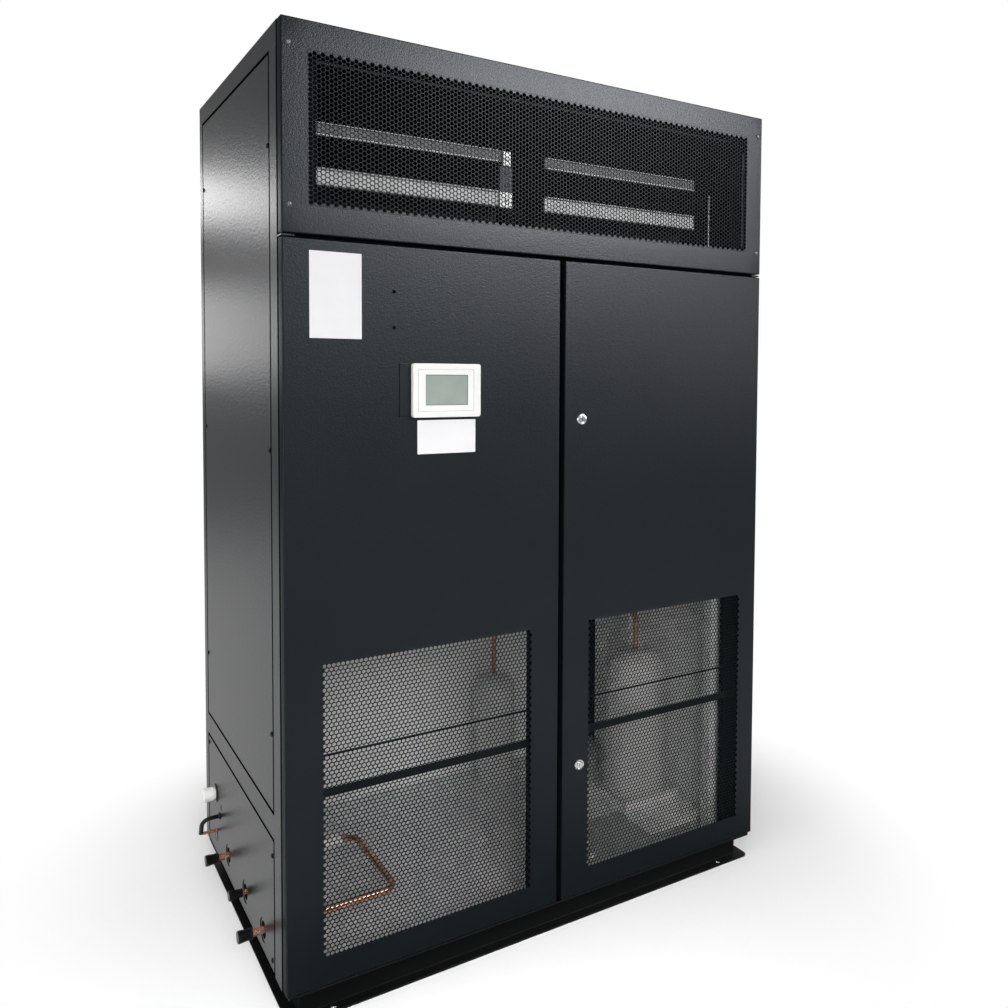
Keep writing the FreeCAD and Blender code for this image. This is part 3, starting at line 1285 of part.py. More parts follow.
hose = rod([
    vector(hose_inside - half_width, drain_y, drain_z),
    vector(-half_width - hose_reach, drain_y, drain_z),
    vector(-half_width - hose_reach, drain_y + hose_bend, drain_z - hose_fall),
], hose_radius.value, hose_bend.value)
new_shape("drain_hose", hose)

# Every object must be sound before anything is written.
doc.recompute()
for thing in doc.Objects:
    if "Invalid" in thing.State or "Error" in thing.State:
        raise RuntimeError(f"{thing.Name} failed: {thing.State}")
for piece in pieces:
    if piece.Shape.isNull() or not piece.Shape.isValid() or not piece.Shape.Solids:
        raise RuntimeError(f"{piece.Label} has no sound shape")
for piece in pieces:
    piece.Shape.exportStep(f"parts/{piece.Label}.step")
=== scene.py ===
import math

import bmesh
import bpy
from mathutils import Matrix, Vector


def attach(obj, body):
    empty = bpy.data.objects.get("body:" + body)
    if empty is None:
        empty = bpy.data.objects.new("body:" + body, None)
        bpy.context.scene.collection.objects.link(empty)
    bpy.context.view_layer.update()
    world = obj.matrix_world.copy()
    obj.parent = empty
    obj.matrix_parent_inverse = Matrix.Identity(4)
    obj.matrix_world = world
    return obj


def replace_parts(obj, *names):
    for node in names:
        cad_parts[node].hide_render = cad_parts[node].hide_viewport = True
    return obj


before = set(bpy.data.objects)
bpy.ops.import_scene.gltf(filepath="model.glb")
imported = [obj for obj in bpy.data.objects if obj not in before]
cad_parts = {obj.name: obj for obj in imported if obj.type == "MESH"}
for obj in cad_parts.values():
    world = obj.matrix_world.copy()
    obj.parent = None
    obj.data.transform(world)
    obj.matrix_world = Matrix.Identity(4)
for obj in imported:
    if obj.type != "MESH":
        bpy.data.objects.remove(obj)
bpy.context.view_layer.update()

# BASE
# The base is a ring of folded steel channels, open to the front below the doors, painted satin black.
# It carries the floor plate and everything above, and is bolted down through its lower flanges.


def linear(code):
    shares = [int(code[place:place + 2], 16) / 255 for place in (1, 3, 5)]
    return [s / 12.92 if s <= 0.04045 else ((s + 0.055) / 1.055) ** 2.4 for s in shares] + [1.0]


def every(millimetres):
    return 1000 / millimetres


def add(tree, kind, settings=None, links=None):
    node = tree.nodes.new("ShaderNode" + kind)
    for name, value in (settings or {}).items():
        if name in node.inputs:
            node.inputs[name].default_value = value
        else:
            setattr(node, name, value)
    for name, source in (links or {}).items():
        tree.links.new(source, node.inputs[name])
    return node


def new_finish(name, settings):
    finish = bpy.data.materials.new(name)
    finish.use_nodes = True
    tree = finish.node_tree
    shader = tree.nodes["Principled BSDF"]
    for socket, value in settings.items():
        shader.inputs[socket].default_value = value
    place = add(tree, "TexCoord").outputs["Object"]
    return finish, tree, shader, place


def noise(tree, place, millimetres, detail):
    return add(tree, "TexNoise", {"Scale": every(millimetres), "Detail": detail}, {"Vector": place}).outputs["Fac"]


def wave(tree, place, millimetres):
    settings = {"Scale": every(millimetres) / 20 * math.pi, "bands_direction": "X"}
    return add(tree, "TexWave", settings, {"Vector": place}).outputs["Fac"]


def ramp(tree, source, dark, light):
    node = add(tree, "ValToRGB", {}, {"Fac": source})
    for element, code in zip(node.color_ramp.elements, (dark, light)):
        element.color = linear(code)
    return node.outputs["Color"]


def span(tree, source, low, high):
    return add(tree, "MapRange", {"To Min": low, "To Max": high}, {"Value": source}).outputs["Result"]


def relief(tree, height, strength, distance, edge=None):
    links = {"Height": height, "Normal": edge} if edge else {"Height": height}
    return add(tree, "Bump", {"Strength": strength, "Distance": distance}, links).outputs["Normal"]


def soft_edge(tree):
    return add(tree, "Bevel", {"samples": 4, "Radius": 0.0015}).outputs["Normal"]


def maths(tree, operation, *values):
    node = add(tree, "Math", {"operation": operation})
    for socket, value in zip(node.inputs, values):
        if isinstance(value, float):
            socket.default_value = value
        else:
            tree.links.new(value, socket)
    return node.outputs[0]


def mix(tree, share, first, second):
    # A colour mix takes its colours at sockets 6 and 7 and gives the result at 2.
    node = add(tree, "Mix", {"data_type": "RGBA"}, {0: share, 6: first})
    if isinstance(second, str):
        node.inputs[7].default_value = linear(second)
    else:
        tree.links.new(second, node.inputs[7])
    return node.outputs[2]


def wire(tree, shader, sources):
    for name, source in sources.items():
        tree.links.new(source, shader.inputs[name])


def dress(finish, *names):
    for name in names:
        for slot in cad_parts[name].material_slots:
            slot.material = finish


# Satin black paint, sprayed: an even dark film with a faint orange peel, about 6 mm from crest to crest.
black_paint, tree, shader, place = new_finish("satin black paint", {
    "Base Color": linear("#060808"), "Specular IOR Level": 0.2})
peel = noise(tree, place, 6, 3.0)
gloss = span(tree, peel, 0.36, 0.52)
skin = relief(tree, peel, 0.1, 0.0004, soft_edge(tree))
wire(tree, shader, {"Roughness": gloss, "Normal": skin})
dress(black_paint, "base_frame")

# Galvanised steel: pale zinc with large crystals, about 16 mm across, that catch the light one by one. The floor
# plate's outer rim is painted black together with the base.
galvanised, tree, shader, place = new_finish("galvanised steel", {"Metallic": 0.1})
crystal = add(tree, "TexVoronoi", {"Scale": every(16)}, {"Vector": place})
tint = ramp(tree, crystal.outputs["Color"], "#d0d3d2", "#e4e6e5")
gloss = span(tree, crystal.outputs["Color"], 0.38, 0.58)
spot = add(tree, "SeparateXYZ", {}, {"Vector": place})
front = maths(tree, "LESS_THAN", spot.outputs["Y"], -0.362)
side = maths(tree, "ABSOLUTE", spot.outputs["X"])
side = maths(tree, "GREATER_THAN", side, 0.59)
rim = maths(tree, "MAXIMUM", front, side)
zinc = mix(tree, rim, tint, "#0a0c0d")
wire(tree, shader, {"Base Color": zinc, "Roughness": gloss})
dress(galvanised, "floor_pan")

# CABINET FRAME
# Folded steel posts, rails and a top frame, welded into an open box and powder coated charcoal.
# The side and rear panels are shallow pans that sit flush in its rebates.

# Charcoal powder coat: a baked polyester film, semi-matt, with slow clouds about 180 mm across and a fine
# leather-like grain. The real grain is under a millimetre, and is drawn 3 mm wide so that it still breaks up the
# reflections in a picture.
# The reflections are tinted slightly blue: a painted cool tint that stands in for the colour of the light.
coat, tree, shader, place = new_finish("charcoal powder coat", {
    "Specular IOR Level": 0.19, "Specular Tint": linear("#f3f6ff")})
cloud = noise(tree, place, 180, 4.0)
tint = ramp(tree, cloud, "#0a0f10", "#12181a")
grain = noise(tree, place, 3, 3.0)
gloss = span(tree, grain, 0.26, 0.42)
skin = relief(tree, grain, 0.75, 0.0005, soft_edge(tree))
wire(tree, shader, {"Base Color": tint, "Roughness": gloss, "Normal": skin})
dress(coat, "rear_post_left", "rear_post_right", "side_rail_left", "side_rail_right", "rear_rail", "top_frame",
      "top_cover", "upper_panel_rear", "lower_panel_rear", "panel_standoffs", "lower_pivots", "upper_pivots")


def find(tree, kind):
    return next(node for node in tree.nodes if node.bl_idname == "ShaderNode" + kind)


def copied(finish, name):
    twin = finish.copy()
    twin.name = name
    tree = twin.node_tree
    return twin, tree, tree.nodes["Principled BSDF"], find(tree, "TexCoord").outputs["Object"]


# On the side panels the grain is drawn 6 mm high and 24 mm deep, because they are mostly seen at a glancing angle.
side_coat, tree, shader, place = copied(coat, "charcoal powder coat on side panels")
drawn = add(tree, "Mapping", {"Scale": (every(6), every(24), every(6))}, {"Vector": place})
grain = noise(tree, drawn.outputs["Vector"], 1000, 3.0)
wire(tree, find(tree, "Bump"), {"Height": grain})
dress(side_coat, "upper_panel_left", "upper_panel_right", "lower_panel_left", "lower_panel_right")

# The frame's front members are dulled inside as painted shade: dark, with no sheen behind the punched fields and in
# the gaps beside the doors. Only the posts' outer sides, beyond 583 mm from the middle, have the full coat.
shade_dulled_coat, tree, shader, place = copied(coat, "charcoal powder coat, dulled as painted shade")
spot = add(tree, "SeparateXYZ", {}, {"Vector": place})
side = maths(tree, "ABSOLUTE", spot.outputs["X"])
side = maths(tree, "GREATER_THAN", side, 0.583)
back = maths(tree, "GREATER_THAN", spot.outputs["Y"], -0.363)
outside = maths(tree, "MULTIPLY", side, back)
sheen = span(tree, outside, 0.01, 0.19)
wire(tree, shader, {"Specular IOR Level": sheen})
dress(shade_dulled_coat, "front_post_left", "front_post_right", "front_sill", "front_header", "center_post")

# INSULATION
# Foam boards glued into the panels' pans: below the shelf they are faced with dull aluminium foil, above it
# they are drawn black as painted shade of the dark upper compartment.

# Foil facing: soft wrinkles about 40 mm apart over a pale metal. Above the shelf: black painted shade, in open cells of
# 4 mm.
foil, tree, shader, place = new_finish("foil facing, black above the shelf as painted shade", {"Specular IOR Level": 0.3})
crease = noise(tree, place, 40, 5.0)
tint = ramp(tree, crease, "#dddedb", "#ecedea")
cells = add(tree, "TexVoronoi", {"Scale": every(4)}, {"Vector": place})
upper_shade = ramp(tree, cells.outputs["Distance"], "#060606", "#141414")
spot = add(tree, "SeparateXYZ", {}, {"Vector": place})
shelf_level = 0.769
upper = maths(tree, "GREATER_THAN", spot.outputs["Z"], shelf_level)
facing = mix(tree, upper, tint, upper_shade)
gloss = span(tree, upper, 0.45, 0.95)
skin = relief(tree, crease, 0.3, 0.002)
wire(tree, shader, {"Base Color": facing, "Roughness": gloss, "Normal": skin})
dress(foil, "insulation_boards")

# PANEL GAP STRIPS
# Black foam strips in the gaps round the side panels, with thin lips that lie over the panels' edges: painted shade
# that makes the gaps read dark. The lips stand 0.3 mm proud of the left side and 0.1 mm of the right.


def join(bm, part):
    mesh = bpy.data.meshes.new("loose shape")
    part.to_mesh(mesh)
    part.free()
    bm.from_mesh(mesh)
    bpy.data.meshes.remove(mesh)


def round_off(bm, edges, radius, segments):
    bmesh.ops.bevel(bm, geom=edges, offset=radius, segments=segments, profile=0.5, affect="EDGES", material=-1)


def add_block(bm, low, high, bevel=0.0):
    part = bmesh.new()
    low, high = Vector(low), Vector(high)
    size = Matrix.Diagonal((*(high - low), 1))
    bmesh.ops.create_cube(part, size=1, matrix=Matrix.Translation((low + high) / 2) @ size)
    if bevel:
        round_off(part, part.edges, bevel, 2)
    join(bm, part)


def new_piece(name, bm, finish, body, gauge=0.0, smooth=True):
    mesh = bpy.data.meshes.new(name)
    bm.to_mesh(mesh)
    bm.free()
    mesh.materials.append(finish)
    piece = bpy.data.objects.new(name, mesh)
    bpy.context.scene.collection.objects.link(piece)
    if gauge:
        wall = piece.modifiers.new("sheet", "SOLIDIFY")
        wall.thickness = gauge
        wall.offset = -1.0
    if smooth:
        for face in mesh.polygons:
            face.use_smooth = True
        mesh.set_sharp_from_angle(angle=math.radians(32))
        piece.modifiers.new("flat faces stay flat", "WEIGHTED_NORMAL").keep_sharp = True
    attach(piece, body)
    return piece


# Black foam: open cells about 3 mm across that swallow the light.
# The black foam is painted shade: it darkens the panel gaps and the two small holes in the left door.
foam, tree, shader, place = new_finish("black foam", {"Specular IOR Level": 0.0, "Roughness": 1.0})
cells = add(tree, "TexVoronoi", {"Scale": every(3)}, {"Vector": place})
tint = ramp(tree, cells.outputs["Distance"], "#020202", "#0c0c0c")
wire(tree, shader, {"Base Color": tint})
strip_front, strip_back, strip_wide, play, strip_face = -0.3108, 0.3648, 0.0036, 0.0002, 0.5999
gap_shade_strips = bmesh.new()
for side in (-1, 1):
    lip_face = 0.6002 - 0.0001 * side
    for low, high in ((0.066, 0.341), (0.401, 1.901)):
        for y0, z0, y1, z1 in ((strip_front, high + play, strip_back, high + play + strip_wide),
                               (strip_front, low - play - strip_wide, strip_back, low - play),
                               (strip_front, low, strip_front + strip_wide, high),
                               (strip_back - strip_wide, low, strip_back, high)):
            for outer, inner, lip in ((strip_face, 0.597, 0.0), (lip_face, strip_face, 0.0013)):
                ends = sorted((side * outer, side * inner))
                add_block(gap_shade_strips, (ends[0], y0 - lip, z0 - lip), (ends[1], y1 + lip, z1 + lip))
new_piece("panel_gap_shade_strips", gap_shade_strips, foam, "cabinet")

# PANEL SCREWS
# Socket screws that hold the side and rear panels, painted over together with them. The left panels have button
# heads, the right and rear ones flush heads.


def turned(bm, outline, foot, way, steps):
    part = bmesh.new()
    chain = [part.verts.new((radius, 0, rise)) for radius, rise in outline]
    line = [part.edges.new(pair) for pair in zip(chain, chain[1:])]
    bmesh.ops.spin(part, geom=chain + line, cent=(0, 0, 0), axis=(0, 0, 1), angle=math.tau, steps=steps,
                   use_merge=True)
    bmesh.ops.remove_doubles(part, verts=part.verts, dist=1e-6)
    bmesh.ops.recalc_face_normals(part, faces=part.faces)
    turn = Vector((0, 0, 1)).rotation_difference(Vector(way)).to_matrix().to_4x4()
    bmesh.ops.transform(part, matrix=Matrix.Translation(foot) @ turn, verts=part.verts)
    join(bm, part)


leftward, rightward = (-1, 0, 0), (1, 0, 0)
frontward, rearward = (0, -1, 0), (0, 1, 0)
downward, upward = (0, 0, -1), (0, 0, 1)
side_face = 0.6
rear_face = 0.4
button_head = [(0.0052, 0.0), (0.005, 0.0012), (0.0038, 0.0024), (0.002, 0.0028), (0.002, 0.0012), (0.0, 0.0012)]
flush_head = [(0.0052, 0.0), (0.005, 0.0001), (0.002, 0.0001), (0.0019, 0.00003), (0.0, 0.00003)]
side_screws = [(-0.298, 1.727), (-0.298, 1.13), (-0.298, 0.558), (0.352, 1.738), (0.352, 1.143), (0.352, 0.558),
               (-0.296, 0.307), (-0.292, 0.087), (0.354, 0.323), (0.354, 0.087)]
screws = bmesh.new()
for y, z in side_screws:
    turned(screws, button_head, (-side_face, y, z), leftward, 12)
    turned(screws, flush_head, (side_face, y, z), rightward, 12)
for x in (-0.548, 0.0, 0.548):
    for z in (0.075, 0.332, 0.41, 1.13, 1.89):
        turned(screws, flush_head, (x, rear_face, z), rearward, 12)
new_piece("panel_screws", screws, black_paint, "cabinet")

# FAN COMPARTMENT
# Two double-width blowers stand on a black deck behind the outlet panel and blow forwards through it.
# Housings and wheels are folded and rolled sheet, and the motors are painted castings inside the scrolls.
dress(black_paint, "fan_motor_left", "fan_motor_right", "blower_wheel_left", "blower_wheel_right")
# The deck's coat is dulled as painted shade.
dress(shade_dulled_coat, "fan_deck")

# Blower sheet: zinc, drawn black as painted shade of the dark fan compartment, except for the mouths' horizontal
# flanges. The lower flanges keep the bright zinc and the upper ones are drawn darker as painted shade under their
# lips. Clouds about 35 mm across.
blower_sheet, tree, shader, place = new_finish("blower sheet, black as painted shade", {
    "Metallic": 0.2, "Roughness": 0.5, "Specular IOR Level": 0.04})
cloud = noise(tree, place, 35, 4.0)
# Black: painted shade on the housings' sides and on the mouths' side flanges.
black = ramp(tree, cloud, "#0a0b0c", "#161718")
# The upper flanges' darker grey: painted shade under their lips.
lip_shade = ramp(tree, cloud, "#585b5c", "#77797a")
bright = ramp(tree, cloud, "#a4a7a6", "#c4c7c5")
mouth_back, mouth_middle, mouth_half = -0.3385, 1.7195, 0.0325
spot = add(tree, "SeparateXYZ", {}, {"Vector": place})
mouth = maths(tree, "LESS_THAN", spot.outputs["Y"], mouth_back)
apart = maths(tree, "SUBTRACT", spot.outputs["Z"], mouth_middle)
apart = maths(tree, "ABSOLUTE", apart)
apart = maths(tree, "GREATER_THAN", apart, mouth_half)
mouth = maths(tree, "MULTIPLY", mouth, apart)
lower = maths(tree, "LESS_THAN", spot.outputs["Z"], mouth_middle)
flange = mix(tree, lower, lip_shade, bright)
coloured = mix(tree, mouth, black, flange)
wire(tree, shader, {"Base Color": coloured})
dress(blower_sheet, "blower_housing_left", "blower_housing_right")

# BLOWER MOUTH TRIM
# Rolled zinc lips along the edges of the mouths' flanges, an end bracket with a coated web bolted to the left
# mouth, and a thin conduit that stands on the deck beside the right one.

# Dull zinc: the same sheet, weathered to an even mid grey with stains about 20 mm across. On the tread plate its grey
# is also painted shadow.
dull_zinc, tree, shader, place = new_finish("dull zinc", {"Metallic": 0.3, "Roughness": 0.42})
stain = noise(tree, place, 20, 4.0)
tint = ramp(tree, stain, "#8f9291", "#b4b7b5")
wire(tree, shader, {"Base Color": tint})


def stud(radius, straight, crown, height):
    return [(0.0, 0.0), (radius, 0.0), (radius, straight), (crown, height), (0.0, height)]


trim = bmesh.new()
lip_y, bracket_y = -0.3478, -0.3525
for left, right in ((-0.528, -0.126), (-0.007, 0.419)):
    long = right - left
    for z, radius in ((1.7525, 0.003), (1.7755, 0.0015), (1.687, 0.0022), (1.6555, 0.0022)):
        end = radius * 0.7
        lip = [(0.0, 0.0), (end, 0.0), (radius, 0.001), (radius, long - 0.001), (end, long), (0.0, long)]
        turned(trim, lip, (left, lip_y, z), rightward, 12)
for z in (1.758, 1.669):
    turned(trim, stud(0.004, 0.003, 0.003, 0.0038), (-0.1095, bracket_y, z), frontward, 6)
turned(trim, stud(0.0016, 0.244, 0.001, 0.2455), (0.4745, -0.34, 1.5005), upward, 12)
add_block(trim, (-0.117, bracket_y, 1.743), (-0.099, -0.3455, 1.775), 0.001)
add_block(trim, (-0.125, bracket_y, 1.652), (-0.094, -0.3455, 1.686), 0.001)
new_piece("mouth_trim", trim, dull_zinc, "cabinet")
web = bmesh.new()
web_y = -0.349
add_block(web, (-0.124, web_y, 1.6865), (-0.093, -0.3455, 1.7425), 0.0008)
for z in (1.702, 1.728):
    turned(web, stud(0.004, 0.002, 0.003, 0.0028), (-0.1085, web_y, z), frontward, 6)
new_piece("mouth_bracket_web", web, coat, "cabinet")

# COOLING COIL
# Copper tubes through hundreds of thin aluminium fins, standing in a galvanised drain pan on the shelf,
# with electric heater rods above it and pleated filters leaning on its face.
dress(galvanised, "equipment_shelf", "drain_pan")

# Aluminium fins: bright stamped sheet, one fin about every 2.5 mm, drawn 5 mm apart to show in a picture.
fins, tree, shader, place = new_finish("aluminium fins", {"Metallic": 1.0, "Roughness": 0.35})
stack = wave(tree, place, 5)
# The dark bands between the bright fins are painted shade of the gaps between them.
tint = ramp(tree, stack, "#5d6163", "#d5d8da")
skin = relief(tree, stack, 0.5, 0.001)
wire(tree, shader, {"Base Color": tint, "Normal": skin})
dress(fins, "cooling_coil", "electric_heater")

# Pleated filter medium: matt synthetic wool folded about every 25 mm, in a card frame.
medium, tree, shader, place = new_finish("pleated filter medium", {"Roughness": 0.95})
pleat = wave(tree, place, 25)
# The darker bands are painted shade in the folds, along with the bump.
tint = ramp(tree, pleat, "#a5a59b", "#dcdcd4")
skin = relief(tree, pleat, 0.6, 0.006)
wire(tree, shader, {"Base Color": tint, "Normal": skin})
dress(medium, "air_filters")

# LOWER LINING
# Foil-faced mats over the rails of the lower compartment, held by pressed washers on pins. The left one ends
# above the pipe passages.
lining = bmesh.new()
lining_top, rear_mat, right_mat = 0.764, 0.374, 0.573
for low, high in (((-0.544, rear_mat, 0.064), (0.544, 0.38, lining_top)),
                  ((right_mat, -0.288, 0.064), (0.579, 0.344, lining_top)),
                  ((-0.579, -0.288, 0.36), (-0.573, 0.344, lining_top))):
    add_block(lining, low, high, 0.0015)
washer = [(0.014, 0.0), (0.0135, 0.0008), (0.006, 0.0014), (0.0045, 0.0026), (0.0, 0.0026)]
for z in (0.19, 0.42, 0.65):
    for x in (-0.45, -0.15, 0.15, 0.45):
        turned(lining, washer, (x, rear_mat, z), frontward, 16)
    for y in (-0.23, 0.03, 0.29):
        turned(lining, washer, (right_mat, y, z), leftward, 16)
new_piece("lower_lining", lining, foil, "cabinet")

# FLOOR BOLTS AND TREAD PLATE
# Bright zinc bolts that hold the floor plate to the base, and a ribbed plate of dull zinc left of the compressor,
# which reaches along the sill in front of the spill tray. The plate's darker grey is painted shadow of the compressor.
floor_top = 0.062
bolts = bmesh.new()
bolt = [(0.009, 0.0), (0.009, 0.0012), (0.0065, 0.0014), (0.0065, 0.0062), (0.0055, 0.0068), (0.0, 0.0068)]
for x, y in ((-0.12, -0.094), (0.337, -0.099), (0.182, -0.267), (-0.45, -0.28), (-0.45, 0.3), (0.12, 0.3)):
    turned(bolts, bolt, (x, y, floor_top), upward, 12)
new_piece("floor_bolts", bolts, galvanised, "cabinet")
# Its dull zinc, darker than the floor, is painted shadow of the compressor.
tread = bmesh.new()
tread_front, rib_pitch, rib_wide = -0.335, 0.03, 0.006
for left, right, back, rib_left, rib_right, ribs in ((0.1, 0.376, -0.1, 0.11, 0.356, 8),
                                                     (0.376, 0.56, -0.262, 0.366, 0.55, 2)):
    add_block(tread, (left, tread_front, floor_top), (right, back, 0.0632), 0.0005)
    for rib in range(ribs):
        y = tread_front + 0.009 + rib_pitch * rib
        add_block(tread, (rib_left, y, 0.0631), (rib_right, y + rib_wide, 0.064), 0.0003)
new_piece("tread_plate", tread, dull_zinc, "cabinet")

# SWITCHGEAR
# An open steel box on the shelf behind the left door, with moulded breakers and contactors on rails. Its grey
# enamel is shared with the liquid receiver.


# Enamel on steel: satin, faintly uneven over about 30 mm.
def enamel(name, dark, light):
    finish, tree, shader, place = new_finish(name, {})
    film = noise(tree, place, 30, 3.0)
    wire(tree, shader, {"Base Color": ramp(tree, film, dark, light), "Roughness": span(tree, film, 0.35, 0.5)})
    return finish


grey_enamel = enamel("light grey enamel", "#d2d3cf", "#e0e1dd")
dress(grey_enamel, "switchgear_box", "liquid_receiver")

# Dark moulded plastic: spark-eroded mould skin, about 1.5 mm grain as drawn.
dark_moulding, tree, shader, place = new_finish("dark moulded plastic", {"Base Color": linear("#2b2d30")})
grain = noise(tree, place, 1.5, 2.0)
gloss = span(tree, grain, 0.45, 0.62)
skin = relief(tree, grain, 0.1, 0.0002)
wire(tree, shader, {"Roughness": gloss, "Normal": skin})
dress(dark_moulding, "switchgear_units")

# COMPRESSOR, RECEIVER AND HUMIDIFIER
# The welded compressor stands on rubber feet inside a white plastic skirt, with a white spill tray before it.
# The liquid receiver is enamelled like the switchgear box. The plastic steam cylinder of the humidifier
# stands on the shelf.

# The compressor's enamel is a darker grey.
compressor_enamel = enamel("mid grey enamel", "#bbbcb9", "#c8c9c6")
dress(compressor_enamel, "compressor")

# White ABS: injection moulded, satin, with faint clouds about 45 mm across and a fine mould skin drawn 1.2 mm wide.
white_abs, tree, shader, place = new_finish("white moulded plastic", {"Specular IOR Level": 0.4})
cast = noise(tree, place, 45, 2.0)
tint = ramp(tree, cast, "#dcdcd9", "#e4e4e2")
grain = noise(tree, place, 1.2, 2.0)
gloss = span(tree, grain, 0.32, 0.45)
skin = relief(tree, grain, 0.06, 0.0001)
wire(tree, shader, {"Base Color": tint, "Roughness": gloss, "Normal": skin})
dress(white_abs, "humidifier")


def add_walls(bm, low, high, gauge=0.0015):
    x0, y0, z0 = low
    x1, y1, z1 = high
    for corner, opposite in ((low, (x0 + gauge, y1, z1)), ((x1 - gauge, y0, z0), high),
                             (low, (x1, y0 + gauge, z1)), ((x0, y1 - gauge, z0), high)):
        add_block(bm, corner, opposite, gauge / 3)


skirt = bmesh.new()
add_walls(skirt, (0.381, -0.125, 0.0632), (0.563, 0.057, 0.0885))
new_piece("compressor_skirt", skirt, white_abs, "cabinet")
# The spill tray's white is partly its own plastic and partly painted light: a bright patch falls there through the
# right window.
tray = bmesh.new()
add_block(tray, (0.41, -0.258, 0.065), (0.564, -0.126, 0.0666), 0.0006)
add_walls(tray, (0.41, -0.258, 0.066), (0.564, -0.126, 0.073))
new_piece("spill_tray", tray, white_abs, "cabinet")

# Black rubber: satin, dusty in patches about 9 mm across, with a cloth-like skin drawn 2 mm wide.
rubber, tree, shader, place = new_finish("black rubber", {"Specular IOR Level": 0.25})
dust = noise(tree, place, 9, 5.0)
tint = ramp(tree, dust, "#060607", "#0f1011")
gloss = span(tree, dust, 0.2, 0.45)
grain = noise(tree, place, 2, 2.0)
skin = relief(tree, grain, 0.2, 0.0003)
wire(tree, shader, {"Base Color": tint, "Roughness": gloss, "Normal": skin})
dress(rubber, "compressor_feet", "passage_rings", "drain_hose", "left_door_seal", "right_door_seal")

# REFRIGERANT PIPES
# Drawn copper tube, brazed and bent, that leaves the cabinet through rubber rings in the lower left panel.
# The suction pipe's return leg wears a foil-faced sleeve.

# Copper: bright drawn metal with brown tarnish in patches about 20 mm across.
copper, tree, shader, place = new_finish("drawn copper", {"Metallic": 0.8})
tarnish = noise(tree, place, 20, 5.0)
tint = ramp(tree, tarnish, "#bd8467", "#e3bba4")
gloss = span(tree, tarnish, 0.34, 0.16)
wire(tree, shader, {"Base Color": tint, "Roughness": gloss})
dress(copper, "suction_pipe", "discharge_pipe", "liquid_pipe")
sleeve = bmesh.new()
sleeve_bore = 0.0081
turned(sleeve, [(sleeve_bore, 0.0), (0.0125, 0.0), (0.013, 0.0008), (0.013, 0.1172), (0.0125, 0.118),
                (sleeve_bore, 0.118), (sleeve_bore, 0.0)], (-0.346, 0.079, 0.11), leftward, 24)
new_piece("pipe_sleeve", sleeve, foil, "cabinet")

# PIPE CAPS AND WATER FITTING
# Soft rubber caps pushed over the copper stubs keep dirt out until the unit is piped up. The water inlet is
# a white plastic nipple with a closed end, pushed through the panel against a black ring. Rubber plugs, a spare
# tube and slits for later passages are beside it; the slits are thin black arcs on the panel, painted shade of the
# cuts.
wide_cap = [(0.0082, 0.0), (0.0112, 0.0), (0.0118, 0.0015), (0.0112, 0.003), (0.0114, 0.009), (0.0122, 0.018),
            (0.0128, 0.0215), (0.013, 0.0265), (0.0122, 0.0288), (0.0095, 0.029), (0.0, 0.0285)]
slim_cap = [(0.0062, 0.0), (0.0092, 0.0), (0.0098, 0.0015), (0.0092, 0.003), (0.0094, 0.009), (0.0102, 0.018),
            (0.0108, 0.0215), (0.011, 0.0265), (0.0103, 0.0288), (0.008, 0.029), (0.0, 0.0285)]
caps = bmesh.new()
for cap, foot in ((wide_cap, (-0.622, 0.134, 0.119)), (slim_cap, (-0.606, -0.044, 0.113)),
                  (wide_cap, (-0.622, -0.211, 0.11))):
    turned(caps, cap, foot, leftward, 20)
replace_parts(new_piece("stub_caps_moulded", caps, rubber, "cabinet"), "stub_caps")
inlet = (-side_face, 0.275, 0.218)
nipple = bmesh.new()
turned(nipple, [(0.0, -0.06), (0.017, -0.06), (0.017, -0.004), (0.0155, -0.002), (0.0155, 0.006), (0.017, 0.0075),
                (0.017, 0.0275), (0.0162, 0.0293), (0.0148, 0.0298), (0.0, 0.0298)],
       inlet, leftward, 32)
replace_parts(new_piece("water_nipple", nipple, white_abs, "cabinet"), "water_inlet")
gland = bmesh.new()
for outline, foot, steps in (
        ([(0.0158, 0.0), (0.0225, 0.0), (0.0228, 0.001), (0.0215, 0.0026), (0.0165, 0.003), (0.0158, 0.0)], inlet, 32),
        ([(0.0052, 0.0), (0.0085, 0.0), (0.0088, 0.0012), (0.0075, 0.0028), (0.0054, 0.003), (0.0052, 0.0)],
         (-side_face, 0.232, 0.176), 24),
        ([(0.0, 0.0002), (0.006, 0.0002), (0.0075, 0.0008), (0.008, 0.0)], (-side_face, 0.213, 0.204), 16),
        ([(0.0, 0.0002), (0.012, 0.0002), (0.0145, 0.001), (0.015, 0.0)], (-side_face, 0.271, 0.111), 24)):
    turned(gland, outline, foot, leftward, steps)
new_piece("panel_glands", gland, rubber, "cabinet")
spare = bmesh.new()
turned(spare, stud(0.004, 0.034, 0.0034, 0.036), (-side_face, 0.262, 0.128), leftward, 16)
new_piece("spare_tube", spare, copper, "cabinet")
# Thin black arcs on the panel: painted shade of the knock-out slits.
slit_shades = bmesh.new()
for y in (-0.113, 0.093):
    for quarter in range(4):
        part = bmesh.new()
        ends = [part.verts.new((0, radius, 0)) for radius in (0.0205, 0.0215)]
        line = part.edges.new(ends)
        bmesh.ops.spin(part, geom=[*ends, line], cent=(0, 0, 0), axis=(1, 0, 0), angle=math.radians(62), steps=8)
        turn = Matrix.Rotation(math.radians(90 * quarter + 14), 4, "X")
        bmesh.ops.transform(part, matrix=Matrix.Translation((-0.6001, y, 0.199)) @ turn, verts=part.verts)
        bmesh.ops.recalc_face_normals(part, faces=part.faces)
        join(slit_shades, part)
new_piece("knock_out_slit_shades", slit_shades, rubber, "cabinet")

# OUTLET PANEL
# The upper front is one folded pan of steel sheet, punched with a honeycomb of full hexagonal holes.
# Four screws hold it to stand-offs in front of the blowers.


